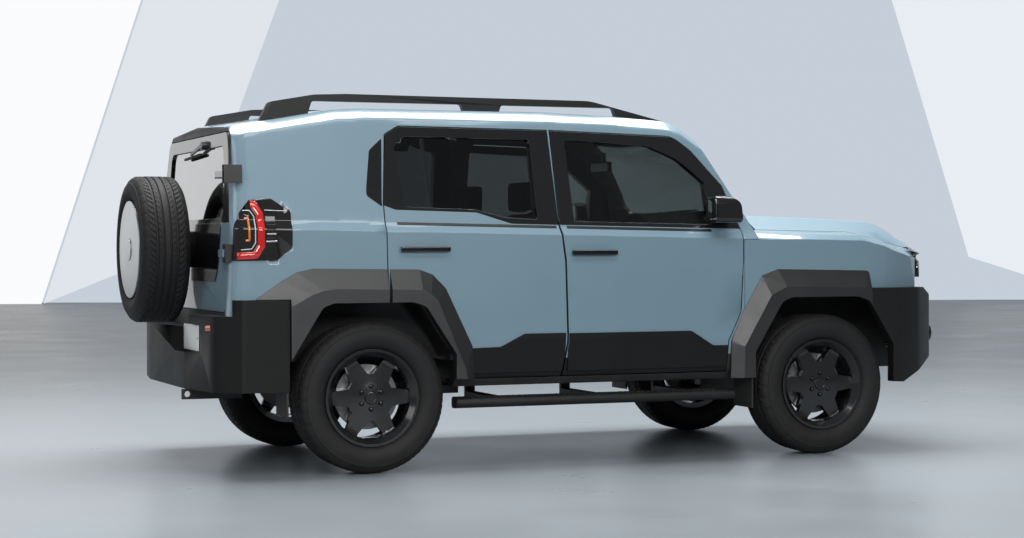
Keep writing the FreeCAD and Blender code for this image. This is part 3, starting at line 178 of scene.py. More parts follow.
# %% Group: tone (slow colour change, dust low down)
def tone_group():
    tree, start, end = new_group(
        "Tone",
        [("Colour", "NodeSocketColor", (0.5, 0.5, 0.5, 1)), ("Variation", "NodeSocketFloat", 0.06),
         ("Scale", "NodeSocketFloat", 6.0), ("Dust", "NodeSocketFloat", 0.0)],
        [("Colour", "NodeSocketColor"), ("Mask", "NodeSocketFloat")])
    place = put(tree, "ShaderNodeTexCoord", -700, -250)
    noise = put(tree, "ShaderNodeTexNoise", -450, -150, Detail=5.0)
    swing = put(tree, "ShaderNodeMapRange", -200, -150)
    level = put(tree, "ShaderNodeMath", -330, 80, operation="SUBTRACT")
    level.inputs[0].default_value = 1.0
    high = put(tree, "ShaderNodeMath", -330, 240, operation="ADD")
    high.inputs[0].default_value = 1.0
    shade = put(tree, "ShaderNodeVectorMath", 50, 100, operation="SCALE")
    split = put(tree, "ShaderNodeSeparateXYZ", -450, -420)
    low = put(tree, "ShaderNodeMapRange", -200, -420, From_Min=0.75, From_Max=0.1)
    amount = put(tree, "ShaderNodeMath", 50, -350, operation="MULTIPLY")
    patchy = put(tree, "ShaderNodeMath", 230, -350, operation="MULTIPLY", use_clamp=True)
    mix = put(tree, "ShaderNodeMix", 430, 60, data_type="RGBA")
    mix.inputs[7].default_value = (0.32, 0.29, 0.25, 1)
    wire(tree, (place, "Object", noise, "Vector"), (start, "Scale", noise, "Scale"),
         (start, "Variation", level, 1), (start, "Variation", high, 1),
         (noise, "Fac", swing, "Value"), (level, 0, swing, "To Min"), (high, 0, swing, "To Max"),
         (start, "Colour", shade, 0), (swing, "Result", shade, "Scale"),
         (place, "Object", split, 0), (split, "Z", low, "Value"), (low, "Result", amount, 0),
         (start, "Dust", amount, 1), (amount, 0, patchy, 0), (noise, "Fac", patchy, 1),
         (patchy, 0, mix, 0), (shade, 0, mix, 6), (mix, 2, end, "Colour"),
         (noise, "Fac", end, "Mask"))
    return tree

# %% Group: woven cloth (two crossing threads)
def weave_group():
    tree, start, end = new_group(
        "Woven cloth", [("Threads", "NodeSocketFloat", 420.0)],
        [("Normal", "NodeSocketVector")])
    place = put(tree, "ShaderNodeTexCoord", -700, -250)
    warp = put(tree, "ShaderNodeTexWave", -400, 100, bands_direction="Z", Distortion=0.6)
    weft = put(tree, "ShaderNodeTexWave", -400, -200, bands_direction="Y", Distortion=0.6)
    both = put(tree, "ShaderNodeMath", -100, 0, operation="MAXIMUM")
    bump = put(tree, "ShaderNodeBump", 250, 0, Strength=0.5, Distance=0.0008)
    for wave in (warp, weft):
        wire(tree, (place, "Object", wave, "Vector"), (start, "Threads", wave, "Scale"))
    wire(tree, (warp, "Fac", both, 0), (weft, "Fac", both, 1), (both, 0, bump, "Height"),
         (bump, "Normal", end, "Normal"))
    return tree


MOULDED, TONE, WEAVE = moulded_group(), tone_group(), weave_group()
print("shader groups:", [tree.name for tree in bpy.data.node_groups])

# %% [markdown]
# ## Materials
#
# One function builds them all from the shared groups, so that a finish is a
# short list of numbers.

# %% Material maker
def material(name, colour, rough, metal=0.0, vary=0.06, vary_scale=6.0, dust=0.0,
             grain=(600.0, 0.1), edge=0.003, rough_swing=0.08, **extra):
    """A Principled material fed by the shared groups."""
    made = bpy.data.materials.new(name)
    made.use_nodes = True
    tree = made.node_tree
    shader = tree.nodes["Principled BSDF"]
    tone = put(tree, "ShaderNodeGroup", -700, 200, node_tree=TONE, Colour=(*colour, 1),
               Variation=vary, Scale=vary_scale, Dust=dust)
    skin = put(tree, "ShaderNodeGroup", -700, -200, node_tree=MOULDED, Grain_scale=grain[0],
               Grain_depth=grain[1], Edge_radius=edge)
    spread = put(tree, "ShaderNodeMapRange", -350, 0, To_Min=max(0.0, rough - rough_swing),
                 To_Max=min(1.0, rough + rough_swing))
    wire(tree, (tone, "Colour", shader, "Base Color"), (tone, "Mask", spread, "Value"),
         (spread, "Result", shader, "Roughness"), (skin, "Normal", shader, "Normal"))
    values = {"Metallic": metal, "Specular_IOR_Level": 0.5, **extra}
    for key, value in values.items():
        shader.inputs[key.replace("_", " ")].default_value = value
    return made

# %% Paint and plastics
PAINT = material("paint", (0.158, 0.245, 0.300), 0.34, vary=0.02, vary_scale=2.0,
                 grain=(260.0, 0.02), rough_swing=0.03, edge=0.004,
                 Coat_Weight=0.75, Coat_Roughness=0.05)
PLASTIC = material("grained_plastic", (0.0085, 0.0086, 0.0088), 0.46, vary=0.18, dust=0.02,
                   grain=(900.0, 0.30), edge=0.004, Specular_IOR_Level=0.34)
FLARE = material("flare_plastic", (0.010, 0.0101, 0.0103), 0.40, vary=0.15, dust=0.02,
                 grain=(900.0, 0.22), edge=0.004, Specular_IOR_Level=0.75)
CLADDING = material("cladding_plastic", (0.0060, 0.0061, 0.0063), 0.50, vary=0.15, dust=0.02,
                    grain=(900.0, 0.25), edge=0.003, Specular_IOR_Level=0.22)
SATIN = material("satin_black", (0.012, 0.012, 0.013), 0.32, grain=(500.0, 0.06))
GLOSS = material("gloss_black", (0.006, 0.006, 0.007), 0.12, rough_swing=0.03, grain=(200.0, 0.01),
                 Coat_Weight=0.6)
RUBBER = material("tyre_rubber", (0.010, 0.010, 0.0105), 0.66, vary=0.25, vary_scale=14.0,
                  dust=0.03, grain=(1200.0, 0.4), edge=0.0015, Specular_IOR_Level=0.3)
FLAP = material("flap_rubber", (0.011, 0.011, 0.011), 0.66, dust=0.08, grain=(700.0, 0.3))
CHASSIS = material("chassis_paint", (0.012, 0.012, 0.013), 0.52, vary=0.2, dust=0.1,
                   grain=(300.0, 0.3))

# %% Metals, cabin and cloth
ENGINE = material("cast_metal", (0.30, 0.30, 0.31), 0.5, metal=0.9, vary=0.15, grain=(350.0, 0.5))
STEEL = material("brake_steel", (0.16, 0.16, 0.165), 0.38, metal=1.0, vary=0.12, vary_scale=30.0,
                 grain=(900.0, 0.15))
CHROME = material("bright_trim", (0.62, 0.63, 0.65), 0.12, metal=1.0, rough_swing=0.04,
                  grain=(200.0, 0.01))
COVER = material("cover_silver", (0.52, 0.54, 0.55), 0.30, metal=0.85, vary=0.03,
                 grain=(1400.0, 0.08), rough_swing=0.05)
HANDLE = material("smoked_chrome", (0.050, 0.052, 0.056), 0.16, metal=1.0, rough_swing=0.04,
                  grain=(200.0, 0.01))
RIM = material("rim_black", (0.008, 0.008, 0.009), 0.20, grain=(400.0, 0.04), Coat_Weight=0.5,
               rough_swing=0.05)
TRIM = material("cabin_plastic", (0.030, 0.031, 0.033), 0.62, vary=0.1, grain=(700.0, 0.35))
LINING = material("cabin_lining", (0.26, 0.26, 0.255), 0.85, vary=0.08, grain=(1500.0, 0.4))
# seat cloth takes its normal from the woven group
CLOTH = material("seat_cloth", (0.030, 0.031, 0.033), 0.85, vary=0.12, vary_scale=20.0,
                 Sheen_Weight=0.3)
threads = put(CLOTH.node_tree, "ShaderNodeGroup", -700, -450, node_tree=WEAVE)
wire(CLOTH.node_tree, (threads, "Normal", CLOTH.node_tree.nodes["Principled BSDF"], "Normal"))

# %% Glass and lenses
def glass(name, tint, **extra):
    """Clear or tinted glass; the tint is what one surface lets through."""
    return material(name, tint, 0.0, vary=0.01, grain=(3.0, 0.004), edge=0.0005,
                    rough_swing=0.0, Transmission_Weight=1.0, IOR=1.45, **extra)


TINTED = glass("tinted_glass", (0.30, 0.33, 0.32))
PRIVACY = glass("privacy_glass", (0.16, 0.17, 0.17))
MIRRORED = glass("back_window_glass", (0.16, 0.17, 0.17), Coat_Weight=1.0, Coat_IOR=3.0)
CLEAR = glass("lamp_glass", (0.92, 0.93, 0.94))
AMBER_LENS = material("amber_lens", (0.62, 0.16, 0.010), 0.14, rough_swing=0.03, grain=(120.0, 0.3),
                      Coat_Weight=0.8)
print("finishes so far:", len(bpy.data.materials))

# %% [markdown]
# ## Refining a CAD piece
#
# A CAD node may not change, so each is copied. The copy is welded, smoothed by
# angle, and given its finishes face by face.

# %% Planes and cuts
WELD, ON_PLANE = 2e-5, 1e-5                # nearer points are one; nearer a plane is on it
GRID_STEP = 0.07


def upright(x):
    """A plane across the car, as a point and a normal."""
    return Vector((x, 0, 0)), Vector((1, 0, 0))


def level(z):
    """A level plane, as a point and a normal."""
    return Vector((0, 0, z)), Vector((0, 0, 1))


# parts the large panels into cells, so that their shading can follow the curve
GRID = ([upright(GRID_STEP * i) for i in range(-39, 40)]
        + [level(GRID_STEP * i) for i in range(7, 28)])


def slice_by(work, plane, **options):
    """Cuts a bmesh by a plane and gives what lies on the cut."""
    everything = work.verts[:] + work.edges[:] + work.faces[:]
    return bmesh.ops.bisect_plane(work, geom=everything, plane_co=plane[0], plane_no=plane[1],
                                  dist=ON_PLANE, **options)["geom_cut"]


def extruded(work, faces):
    """The new points of faces pushed out of themselves."""
    made = bmesh.ops.extrude_face_region(work, geom=faces, use_keep_orig=True)["geom"]
    return [item for item in made if isinstance(item, bmesh.types.BMVert)]


def closed_mesh(work, name):
    """A mesh from a bmesh, with its normals turned outwards."""
    mesh = bpy.data.meshes.new(name)
    bmesh.ops.recalc_face_normals(work, faces=work.faces)
    work.to_mesh(mesh)
    work.free()
    return mesh


def as_shown(carrier):
    """The mesh an object has after its modifiers; the object goes."""
    view = bpy.context.evaluated_depsgraph_get()
    mesh = bpy.data.meshes.new_from_object(carrier.evaluated_get(view))
    bpy.data.objects.remove(carrier)
    return mesh


def cut_through(mesh, outline, x0, x1):
    """A closed mesh less a prism that runs along X over an outline of (y, z) points."""
    work = bmesh.new()
    front = work.faces.new([work.verts.new((x0, y, z)) for y, z in outline])
    for vert in extruded(work, [front]):
        vert.co.x = x1
    cutter = shown("cutter", closed_mesh(work, "cutter"))
    whole = shown("cut", mesh)
    cutting = whole.modifiers.new("opening", "BOOLEAN")
    cutting.operation, cutting.solver, cutting.object = "DIFFERENCE", "EXACT", cutter
    result = as_shown(whole)
    bpy.data.objects.remove(cutter)
    return result

# %% Even shading for large panels
REACH, LIMIT, DEPTH, FEWEST = 0.045, 18.0, 0.012, 6    # of the sampling round a corner


def even_shading(mesh):
    """Sets each corner's normal from a plane through the surface round it.

    A CAD mesh has long thin triangles, whose own normals make a glossy panel look dented."""
    work = bmesh.new()
    work.from_mesh(mesh)
    tree = BVHTree.FromBMesh(work)
    work.free()
    corners = [Vector(item.vector) for item in mesh.corner_normals]
    near = math.cos(math.radians(LIMIT))
    found, result = {}, []
    for loop, normal in zip(mesh.loops, corners):
        key = (loop.vertex_index, tuple(round(c, 1) for c in normal))
        if key not in found:
            centre = mesh.vertices[loop.vertex_index].co
            side = normal.orthogonal().normalized()
            up = normal.cross(side)
            hits = []
            for i in range(16):
                turn, radius = math.tau * i / 16, REACH * (0.45 if i % 2 else 1.0)
                outwards = (side * math.cos(turn) + up * math.sin(turn)) * radius
                hit = tree.ray_cast(centre + outwards + normal * DEPTH, -normal, 2 * DEPTH)
                if hit[0] is not None and hit[1].dot(normal) > near:
                    hits.append(hit[0])
            found[key] = normal
            if len(hits) >= FEWEST:
                cloud = np.array(hits)
                plane = np.linalg.svd(cloud - cloud.mean(axis=0))[2][2]
                fitted = Vector(plane) * (1 if Vector(plane).dot(normal) > 0 else -1)
                if fitted.dot(normal) > near:
                    found[key] = fitted
        result.append(found[key])
    mesh.normals_split_custom_set(result)

# %% Copy, weld, smooth and finish
def dress(mesh, finish):
    """Gives a mesh its finish or list of finishes."""
    mesh.materials.clear()
    for item in finish if isinstance(finish, list) else [finish]:
        mesh.materials.append(item)


def refine(node, finish, rule=None, angle=28.0, bisect=(), trim=(), even=False, opening=None):
    """A finished copy of a CAD node that stands for it.

    rule(centre, normal) gives the index of a face's finish in the list. Planes in
    bisect only part the faces; those in trim also take away what lies beyond. The
    opening is what cut_through takes."""
    mesh = frame["nodes"][node].data.copy()
    if opening:
        mesh = cut_through(mesh, *opening)
    piece = shown("look_" + node, mesh)
    work = bmesh.new()
    work.from_mesh(mesh)
    bmesh.ops.remove_doubles(work, verts=work.verts, dist=WELD)
    for plane in bisect:
        slice_by(work, plane)
    for plane in trim:
        edges = [item for item in slice_by(work, plane, clear_outer=True)
                 if isinstance(item, bmesh.types.BMEdge)]
        bmesh.ops.triangle_fill(work, use_beauty=True, use_dissolve=False, normal=plane[1],
                                edges=edges)
    work.normal_update()
    for face in work.faces:
        face.smooth = True
        face.material_index = rule(face.calc_center_median(), face.normal) if rule else 0
    dress(mesh, finish)
    work.to_mesh(mesh)
    work.free()
    mesh.set_sharp_from_angle(angle=math.radians(angle))
    if even:
        even_shading(mesh)
    else:
        piece.modifiers.new("even shading", "WEIGHTED_NORMAL").keep_sharp = True
    adopt(piece, node)


def adopt(piece, node):
    """piece stands for node: it rides on the node's body, and the node is hidden."""
    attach(piece, BODY_OF[node])
    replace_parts(piece, node)


def add(name, mesh, finish, body, smooth=40):
    """A new piece from a mesh or a bmesh, riding on a CAD body."""
    if isinstance(mesh, bmesh.types.BMesh):
        mesh = closed_mesh(mesh, name)
    piece = shown(name, mesh)
    dress(mesh, finish)
    mesh.shade_smooth()
    mesh.set_sharp_from_angle(angle=math.radians(smooth))
    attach(piece, body)
    return piece

# %% [markdown]
# ## The painted body
#
# Faces that look out of the car are painted; those that look into the cabin
# carry its lining. The window frames above the crease are gloss black, and so
# is the back door round its glass. A rule for each panel picks the finish from
# where a face lies and looks. Cutting the panels into pieces would do as well,
# but would leave open edges in the paint.

# %% Body rules
CABIN = Vector((REAR_AXLE + 0.9, 0, 1.15))
AXLES = [REAR_AXLE, middle("rim_front_right").x]
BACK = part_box("body_shell")[0][0]
ARCH_REACH, ARCH_TOP = 0.62, 0.95          # of a wheel arch, from its axle and up
SHELL_FOOT = 0.53                          # the shell is chassis black from here down
TAIL_FOOT, TAIL_START = 0.80, 0.45         # and behind the rear bumper, from the axle
CABIN_HALF = 0.875                         # past this the side's skin begins
DOOR_FOOT = 0.56                           # doors are black from here down
GARNISH_TOP = 1.262                        # foot of the black round the back glass
FENDER_FOOT = 0.88                         # the fender is chassis black from here down
HANDLE_FOOT, FLARE_REACH = 1.06, 0.56      # parts of a door's trim, up and from the axle


def looks_in(centre, normal):
    away = Vector((0.25 * (centre.x - CABIN.x), centre.y, centre.z - CABIN.z)).normalized()
    return normal.dot(away) < -0.30


def in_arch(centre, normal):
    near = any(abs(centre.x - axle) < ARCH_REACH for axle in AXLES)
    return near and centre.z < ARCH_TOP and abs(normal.y) < 0.6 and normal.z < 0.4


def shell_rule(centre, normal):
    behind_bumper = centre.z < TAIL_FOOT and centre.x < REAR_AXLE - TAIL_START
    if in_arch(centre, normal) or centre.z < SHELL_FOOT or behind_bumper:
        return 3
    if looks_in(centre, normal) and abs(centre.y) < CABIN_HALF and centre.x > BACK + 0.02:
        return 2 if centre.z > belt(centre.x) else 1
    flange = BACK + 0.06 < centre.x < BACK + 0.16 and abs(centre.y) < 0.77
    return 1 if flange and abs(normal.y) < 0.5 and normal.z < 0.5 else 0


# the lower edge of the black window band, from the rear axle
BAND = [(-0.011, 1.423), (0.073, 1.349), (0.137, 1.326), (0.571, 1.314), (0.763, 1.256),
        (1.910, 1.234)]
BAND_CUTS = [(Vector((REAR_AXLE + x0, 0, z0)), Vector((z0 - z1, 0, x1 - x0)).normalized())
             for (x0, z0), (x1, z1) in zip(BAND, BAND[1:])]


def band(x):
    """Height of the lower edge of the window band."""
    x -= REAR_AXLE
    for (x0, z0), (x1, z1) in zip(BAND, BAND[1:]):
        if x < x1 or x1 == BAND[-1][0]:
            return z0 + (z1 - z0) * (x - x0) / (x1 - x0)


def door_rule(centre, normal):
    if centre.y * normal.y < 0 and abs(normal.y) > 0.3:
        return 1
    if centre.z > band(centre.x):
        return 2
    return 3 if centre.z < DOOR_FOOT else 0


def back_rule(centre, normal):
    if centre.x < BACK - 0.004 or (abs(centre.y) < 0.2 and abs(normal.x) < 0.6):
        return 3
    if normal.x > 0.4:
        return 1
    return 2 if centre.z > GARNISH_TOP else 0


def trim_rule(centre, normal):
    """Handles are the highest part of a door's trim, and a flare its part by the wheel."""
    if centre.z > HANDLE_FOOT:
        return 1
    return 2 if centre.x < REAR_AXLE + FLARE_REACH else 0


def fender_rule(centre, normal):
    low = centre.z < FENDER_FOOT and centre.x > AXLES[1] - 0.1
    inside = normal.z < -0.4 or normal.y * centre.y < -0.2
    return 1 if low or inside or in_arch(centre, normal) else 0

# %% Refine the body
# the back door's opening, clear through the wall inside its seal flange
BACK_OPENING = [(-0.755, 0.83), (0.755, 0.83), (0.774, 1.19), (0.672, 1.655), (0.612, 1.704),
                (-0.612, 1.704), (-0.672, 1.655), (-0.774, 1.19)]
refine("body_shell", [PAINT, TRIM, LINING, CHASSIS], shell_rule, bisect=GRID, even=True,
       opening=(BACK_OPENING, BACK - 0.1, BACK + 0.25))
for side in SIDES:
    for row in ("front", "rear"):
        cuts = (BAND_CUTS[4:] if row == "front" else BAND_CUTS[1:]) + [level(DOOR_FOOT)]
        refine(f"{row}_door_{side}", [PAINT, TRIM, GLOSS, CLADDING], door_rule, bisect=cuts,
               even=True)
        refine(f"{row}_glass_{side}", TINTED if row == "front" else PRIVACY)
        refine(f"{row}_trim_{side}", [CLADDING, HANDLE, FLARE], trim_rule, angle=9)
refine("back_door", [PAINT, TRIM, GLOSS, SATIN], back_rule, bisect=[level(GARNISH_TOP)])
refine("hood", [PAINT, CHASSIS], lambda c, n: 1 if n.z < -0.4 else 0, even=True)
refine("front_fenders", [PAINT, CHASSIS], fender_rule, even=True,
       bisect=[level(FENDER_FOOT), upright(AXLES[1] - 0.1)])
refine("back_glass", MIRRORED)

# %% [markdown]
# Bumpers, flares, steps and rails are grained plastic, each a little glossier or
# duller than the next. What lies under the car is chassis black. These pieces
# need one finish each, so a table names them. The front bumper is trimmed by two
# sloping planes, above and below.

# %% Plastic, chassis and cabin pieces
refine("rear_bumper", CLADDING, even=True)
refine("roof_rails", PLASTIC, even=True)
refine("cowl_panel", PLASTIC)
refine("front_flares", FLARE, angle=9)
refine("rear_flares", FLARE, angle=9)


def slope(x0, z0, x1, z1):
    """A plane through two places, from the front axle; what lies to the right of the way goes."""
    return Vector((AXLES[1] + x0, 0, z0)), Vector((z1 - z0, 0, x0 - x1)).normalized()


refine("front_bumper", PLASTIC, even=True,
       trim=[slope(0.500, 0.380, 0.870, 0.545), slope(0.870, 0.822, 0.700, 0.9052)])
EXHAUST = material("exhaust_steel", (0.34, 0.32, 0.30), 0.42, metal=1.0, vary=0.25)
UNDERSIDE = ("floor_pan", "ladder_frame", "rear_axle", "front_suspension", "propeller_shaft",
             "fuel_tank", "knuckle_left", "knuckle_right")
PLAIN = {"front_grille": GLOSS, "side_steps": PLASTIC, "back_door_hinges": SATIN, "mudflaps": FLAP,
         **{node: CHASSIS for node in UNDERSIDE}, "exhaust": EXHAUST, "engine_block": ENGINE,
         "dashboard": TRIM, "steering_wheel": TRIM, "spare_cover": COVER, "spare_rim": RIM,
         "mirror_left": GLOSS, "mirror_right": GLOSS}
for node, finish in PLAIN.items():
    refine(node, finish)

# %% [markdown]
# ## Tyres
#
# The tread is a height field wrapped round the wheel: ribs between grooves,
# cut across by sipes that run at a slant.

# %% Tyre builder
TREAD_HALF, TREAD_STEPS = 0.088, 44
TURN_STEPS = 288
GROOVES = (-0.052, -0.018, 0.018, 0.052)
GROOVE_HALF, GROOVE_DEPTH = 0.0042, 0.0075
BLOCKS, SLANT = 72, 26.0                   # sipes round the tyre, and how far they lean
# where sipes start and end across the tread, their share of a block, and their depth
SIPES = ((0.054, 1.0, 0.20, 0.0065), (0.022, 0.050, 0.10, 0.0045))


def tread_cut(across, turn):
    """How far the surface lies under the tread at a place across and round the tyre."""
    depth = 0.0
    for groove in GROOVES:
        if abs(across - groove) < GROOVE_HALF:
            depth = GROOVE_DEPTH
    phase = (turn * BLOCKS / math.tau + abs(across) * SLANT) % 1.0
    for start, end, share, sipe in SIPES:
        if start < abs(across) < end and phase < share:
            depth = max(depth, sipe)
    return depth


def skin_rings(work, rings):
    """Faces between the rings of a turned form, the last ring to the first too."""
    for a, b in zip(rings, rings[1:] + rings[:1]):
        for i in range(len(a) - 1):
            work.faces.new((a[i], b[i], b[i + 1], a[i + 1]))


def tyre_outline():
    """(across, radius, is tread) from bead to bead, inside the CAD tyre's outline."""
    r, w = TYRE_R, TYRE_W / 2
    bead = r - 0.154
    half_line = [(0.091, bead + 0.0005), (0.092, bead + 0.018), (0.110, bead + 0.028),
                 (0.119, bead + 0.040), (w - 0.0025, bead + 0.062), (w - 0.0005, bead + 0.076),
                 (w - 0.0012, bead + 0.090), (w - 0.0035, bead + 0.104), (w - 0.006, bead + 0.113),
                 (w - 0.006, bead + 0.1165), (w - 0.009, bead + 0.118), (w - 0.014, bead + 0.128),
                 (w - 0.021, r - 0.0145), (w - 0.030, r - 0.0085), (w - 0.036, r - 0.0055)]
    outer = [(a, b, False) for a, b in half_line]
    inner = [(-a, b, False) for a, b in reversed(half_line)]
    tread = []
    for i in range(TREAD_STEPS + 1):
        across = TREAD_HALF - 2 * TREAD_HALF * i / TREAD_STEPS
        tread.append((across, r - 0.0004 - 0.003 * max(0.0, abs(across) / TREAD_HALF - 0.45), True))
    return outer + tread + inner


def tyre(name, node, axis):
    """A tyre in place of a node's; its axle runs along Y, axis 1, or X, axis 0."""
    work, centre = bmesh.new(), middle(node)
    outline = tyre_outline()
    rings = []
    for i in range(TURN_STEPS):
        turn = math.tau * i / TURN_STEPS
        ring = []
        for across, radius, is_tread in outline:
            if is_tread:
                radius -= tread_cut(across, turn)
            elif radius > TYRE_R - 0.030 and (turn * 36 / math.tau) % 1.0 < 0.22:
                radius -= 0.003
            point = [radius * math.cos(turn), radius * math.sin(turn)]
            point.insert(axis, across)
            ring.append(work.verts.new(centre + Vector(point)))
        rings.append(ring)
    skin_rings(work, rings)
    for a, b in zip(rings, rings[1:] + rings[:1]):
        work.faces.new((a[-1], b[-1], b[0], a[0]))
    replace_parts(add(name, work, RUBBER, BODY_OF[node], smooth=32), node)


for tag in WHEELS:
    tyre("tread_" + tag, "tyre_" + tag, 1)
tyre("tread_spare", "spare_tyre", 0)
print(f"tyres: {2 * TYRE_R:.3f} m across, {TYRE_W:.3f} m wide")

# %% [markdown]
# ## Wheels
#
# The CAD wheel is black, with a bare steel brake disc behind its spokes. Nuts
# are one mesh repeated round the hub by a small geometry-node group, so that
# their number is one value. Another group of the kind makes a row.

# %% Groups: copies in a ring and in a row
def copies_group(name, count, step=None):
    """Repeats an object along a line, or round the Y axis where no step is given."""
    line_step = [("Step", "NodeSocketVector", step)] if step else []
    tree, start, end = new_group(
        name, [("Piece", "NodeSocketObject", None), ("Count", "NodeSocketInt", count), *line_step,
               ("Finish", "NodeSocketMaterial", None)],
        [("Geometry", "NodeSocketGeometry")], "GeometryNodeTree")
    source = put(tree, "GeometryNodeObjectInfo", -500, 150, As_Instance=True)
    line = put(tree, "GeometryNodeMeshLine", -500, -80, Offset=(0, 0, 0))
    copies = put(tree, "GeometryNodeInstanceOnPoints", 80, 0)
    real = put(tree, "GeometryNodeRealizeInstances", 280, 0)
    last = put(tree, "GeometryNodeSetMaterial", 460, 0)
    wire(tree, (start, "Piece", source, "Object"), (start, "Count", line, "Count"),
         (line, "Mesh", copies, "Points"), (source, "Geometry", copies, "Instance"),
         (copies, "Instances", real, "Geometry"), (real, "Geometry", last, "Geometry"),
         (start, "Finish", last, "Material"), (last, "Geometry", end, "Geometry"))
    if step:
        wire(tree, (start, "Step", line, "Offset"))
        return tree
    index = put(tree, "GeometryNodeInputIndex", -700, -300)
    share = put(tree, "ShaderNodeMath", -500, -300, operation="DIVIDE")
    turn = put(tree, "ShaderNodeMath", -320, -300, operation="MULTIPLY")
    turn.inputs[1].default_value = math.tau
    aim = put(tree, "ShaderNodeCombineXYZ", -140, -300)
    wire(tree, (index, 0, share, 0), (start, "Count", share, 1), (share, 0, turn, 0),
         (turn, 0, aim, "Y"), (aim, 0, copies, "Rotation"))
    return tree


RING = copies_group("Ring of copies", 6)
ROW = copies_group("Row of copies", 10, (0.03, 0, 0))


def run_group(tree, **values):
    """A plain mesh made by a geometry-node group with these inputs."""
    carrier = shown("carrier", bpy.data.meshes.new("carrier"))
    step = carrier.modifiers.new("nodes", "NODES")
    step.node_group = tree
    for item in tree.interface.items_tree:
        if item.item_type == "SOCKET" and item.in_out == "INPUT" and item.name in values:
            step[item.identifier] = values[item.name]
    return as_shown(carrier)


def copied(tree, work, **values):
    """The bmesh repeated by a group of copies, as one plain mesh."""
    source = shown("source", closed_mesh(work, "source"))
    mesh = run_group(tree, Piece=source, **values)
    bpy.data.objects.remove(source)
    return mesh

# %% Turned forms
def turned_mesh(outline, steps, start=(0.0, 0.0, 0.0)):
    """A closed form turned about the Y axis from (axial, radius) points."""
    work = bmesh.new()
    rings = []
    for i in range(steps):
        turn = math.tau * i / steps
        rings.append([work.verts.new((start[0] + r * math.cos(turn), start[1] + y,
                                      start[2] + r * math.sin(turn))) for y, r in outline])
    skin_rings(work, rings)
    bmesh.ops.remove_doubles(work, verts=work.verts, dist=1e-6)
    return work


def turned_piece(name, outline, steps, matrix, finish, body, smooth=40):
    """A turned form, moved into its place."""
    work = turned_mesh(outline, steps)
    bmesh.ops.transform(work, matrix=matrix, verts=work.verts)
    add(name, work, finish, body, smooth)

# %% Wheels with nuts and caps
NUT = [(0.070, 0.0), (0.070, 0.0125), (0.086, 0.0125), (0.090, 0.0100), (0.092, 0.0060),
       (0.092, 0.0)]
CAP = [(0.074, 0.0), (0.074, 0.034), (0.084, 0.034), (0.089, 0.030), (0.090, 0.024), (0.088, 0.022),
       (0.088, 0.0)]
NUT_CIRCLE, BRAKE_R = 0.058, 0.167
for tag in WHEELS:
    node, out = "rim_" + tag, 1 if "left" in tag else -1
    hub = middle("tyre_" + tag)

    def rim_rule(centre, normal, hub=hub, out=out):
        radius = math.hypot(centre.x - hub.x, centre.z - hub.z)
        return 1 if radius < BRAKE_R and out * (centre.y - hub.y) < 0.006 else 0

    refine(node, [RIM, STEEL], rim_rule, angle=24)
    face_out = Matrix.Translation(hub) @ Matrix.Diagonal((1, out, 1, 1))
    nuts = copied(RING, turned_mesh(NUT, 6, (0, 0, NUT_CIRCLE)), Count=6, Finish=HANDLE)
    nuts.transform(face_out)
    nuts.update()
    add("nuts_" + tag, nuts, HANDLE, BODY_OF[node], smooth=30)
    turned_piece("cap_" + tag, CAP, 48, face_out, RIM, BODY_OF[node], smooth=30)
    print("wheel", tag, "with", len(nuts.polygons), "faces of nuts")

# %% [markdown]
# ## Strips laid on a surface
#
# Seals, light lines and lenses follow the body. Their paths are drawn flat and
# dropped onto the surface along one axis, so they bend with it. A curve with a
# bevel would float or sink wherever the panel bows.

# %% Strips that follow a panel
def skin_of(*nodes):
    """A search tree over the CAD surfaces of these nodes."""
    work = bmesh.new()
    for node in nodes:
        work.from_mesh(frame["nodes"][node].data)
    tree = BVHTree.FromBMesh(work)
    work.free()
    return tree


ASIDE, AHEAD_OF = 1.6, 2.6                 # clear of the car's side, and of its ends
SINK = 0.001                               # how far a covering goes into its surface
# (share of the width, share of the height) round a strip; its back sinks a little
STRIP_RING = ((-0.5, None), (-0.5, 0.55), (-0.3, 1.0), (0.3, 1.0), (0.5, 0.55), (0.5, None))


def spaced(path, step):
    """Points at even steps along a flat path."""
    corners = [Vector(p) for p in path]
    points = []
    for p, q in zip(corners, corners[1:]):
        count = max(1, int((q - p).length / step))
        points += [p.lerp(q, i / count) for i in range(count)]
    return points + [corners[-1]]


def drop(tree, flat, axis, sign):
    """Where a flat point lands on the skin, or None, and the way out; looks along an axis."""
    if axis == "Y":
        start, way = Vector((flat.x, sign * ASIDE, flat.y)), Vector((0, -sign, 0))
    else:
        start, way = Vector((sign * AHEAD_OF, flat.x, flat.y)), Vector((-sign, 0, 0))
    return tree.ray_cast(start, way)[0], -way


def strip(name, tree, path, width, height, finish, body="root", axis="Y",
          sign=1, step=0.012):
    """A low strip, flat on its back and rounded on its face, laid along the path."""
    points = spaced(path, step)
    work = bmesh.new()
    rings = []
    for i, point in enumerate(points):
        run = (points[min(i + 1, len(points) - 1)] - points[max(i - 1, 0)]).normalized()
        across = Vector((-run.y, run.x))
        ring = []
        for share, rise in STRIP_RING:
            place, out = drop(tree, point + across * width * share, axis, sign)
            if place is None:
                break
            ring.append(work.verts.new(place + out * (-0.0015 if rise is None else rise * height)))
        if len(ring) == 6:
            rings.append(ring)
    for a, b in zip(rings, rings[1:]):
        for i in range(6):
            work.faces.new((a[i], b[i], b[(i + 1) % 6], a[(i + 1) % 6]))
    work.faces.new(rings[0])
    work.faces.new(rings[-1])
    add(name, work, finish, body)

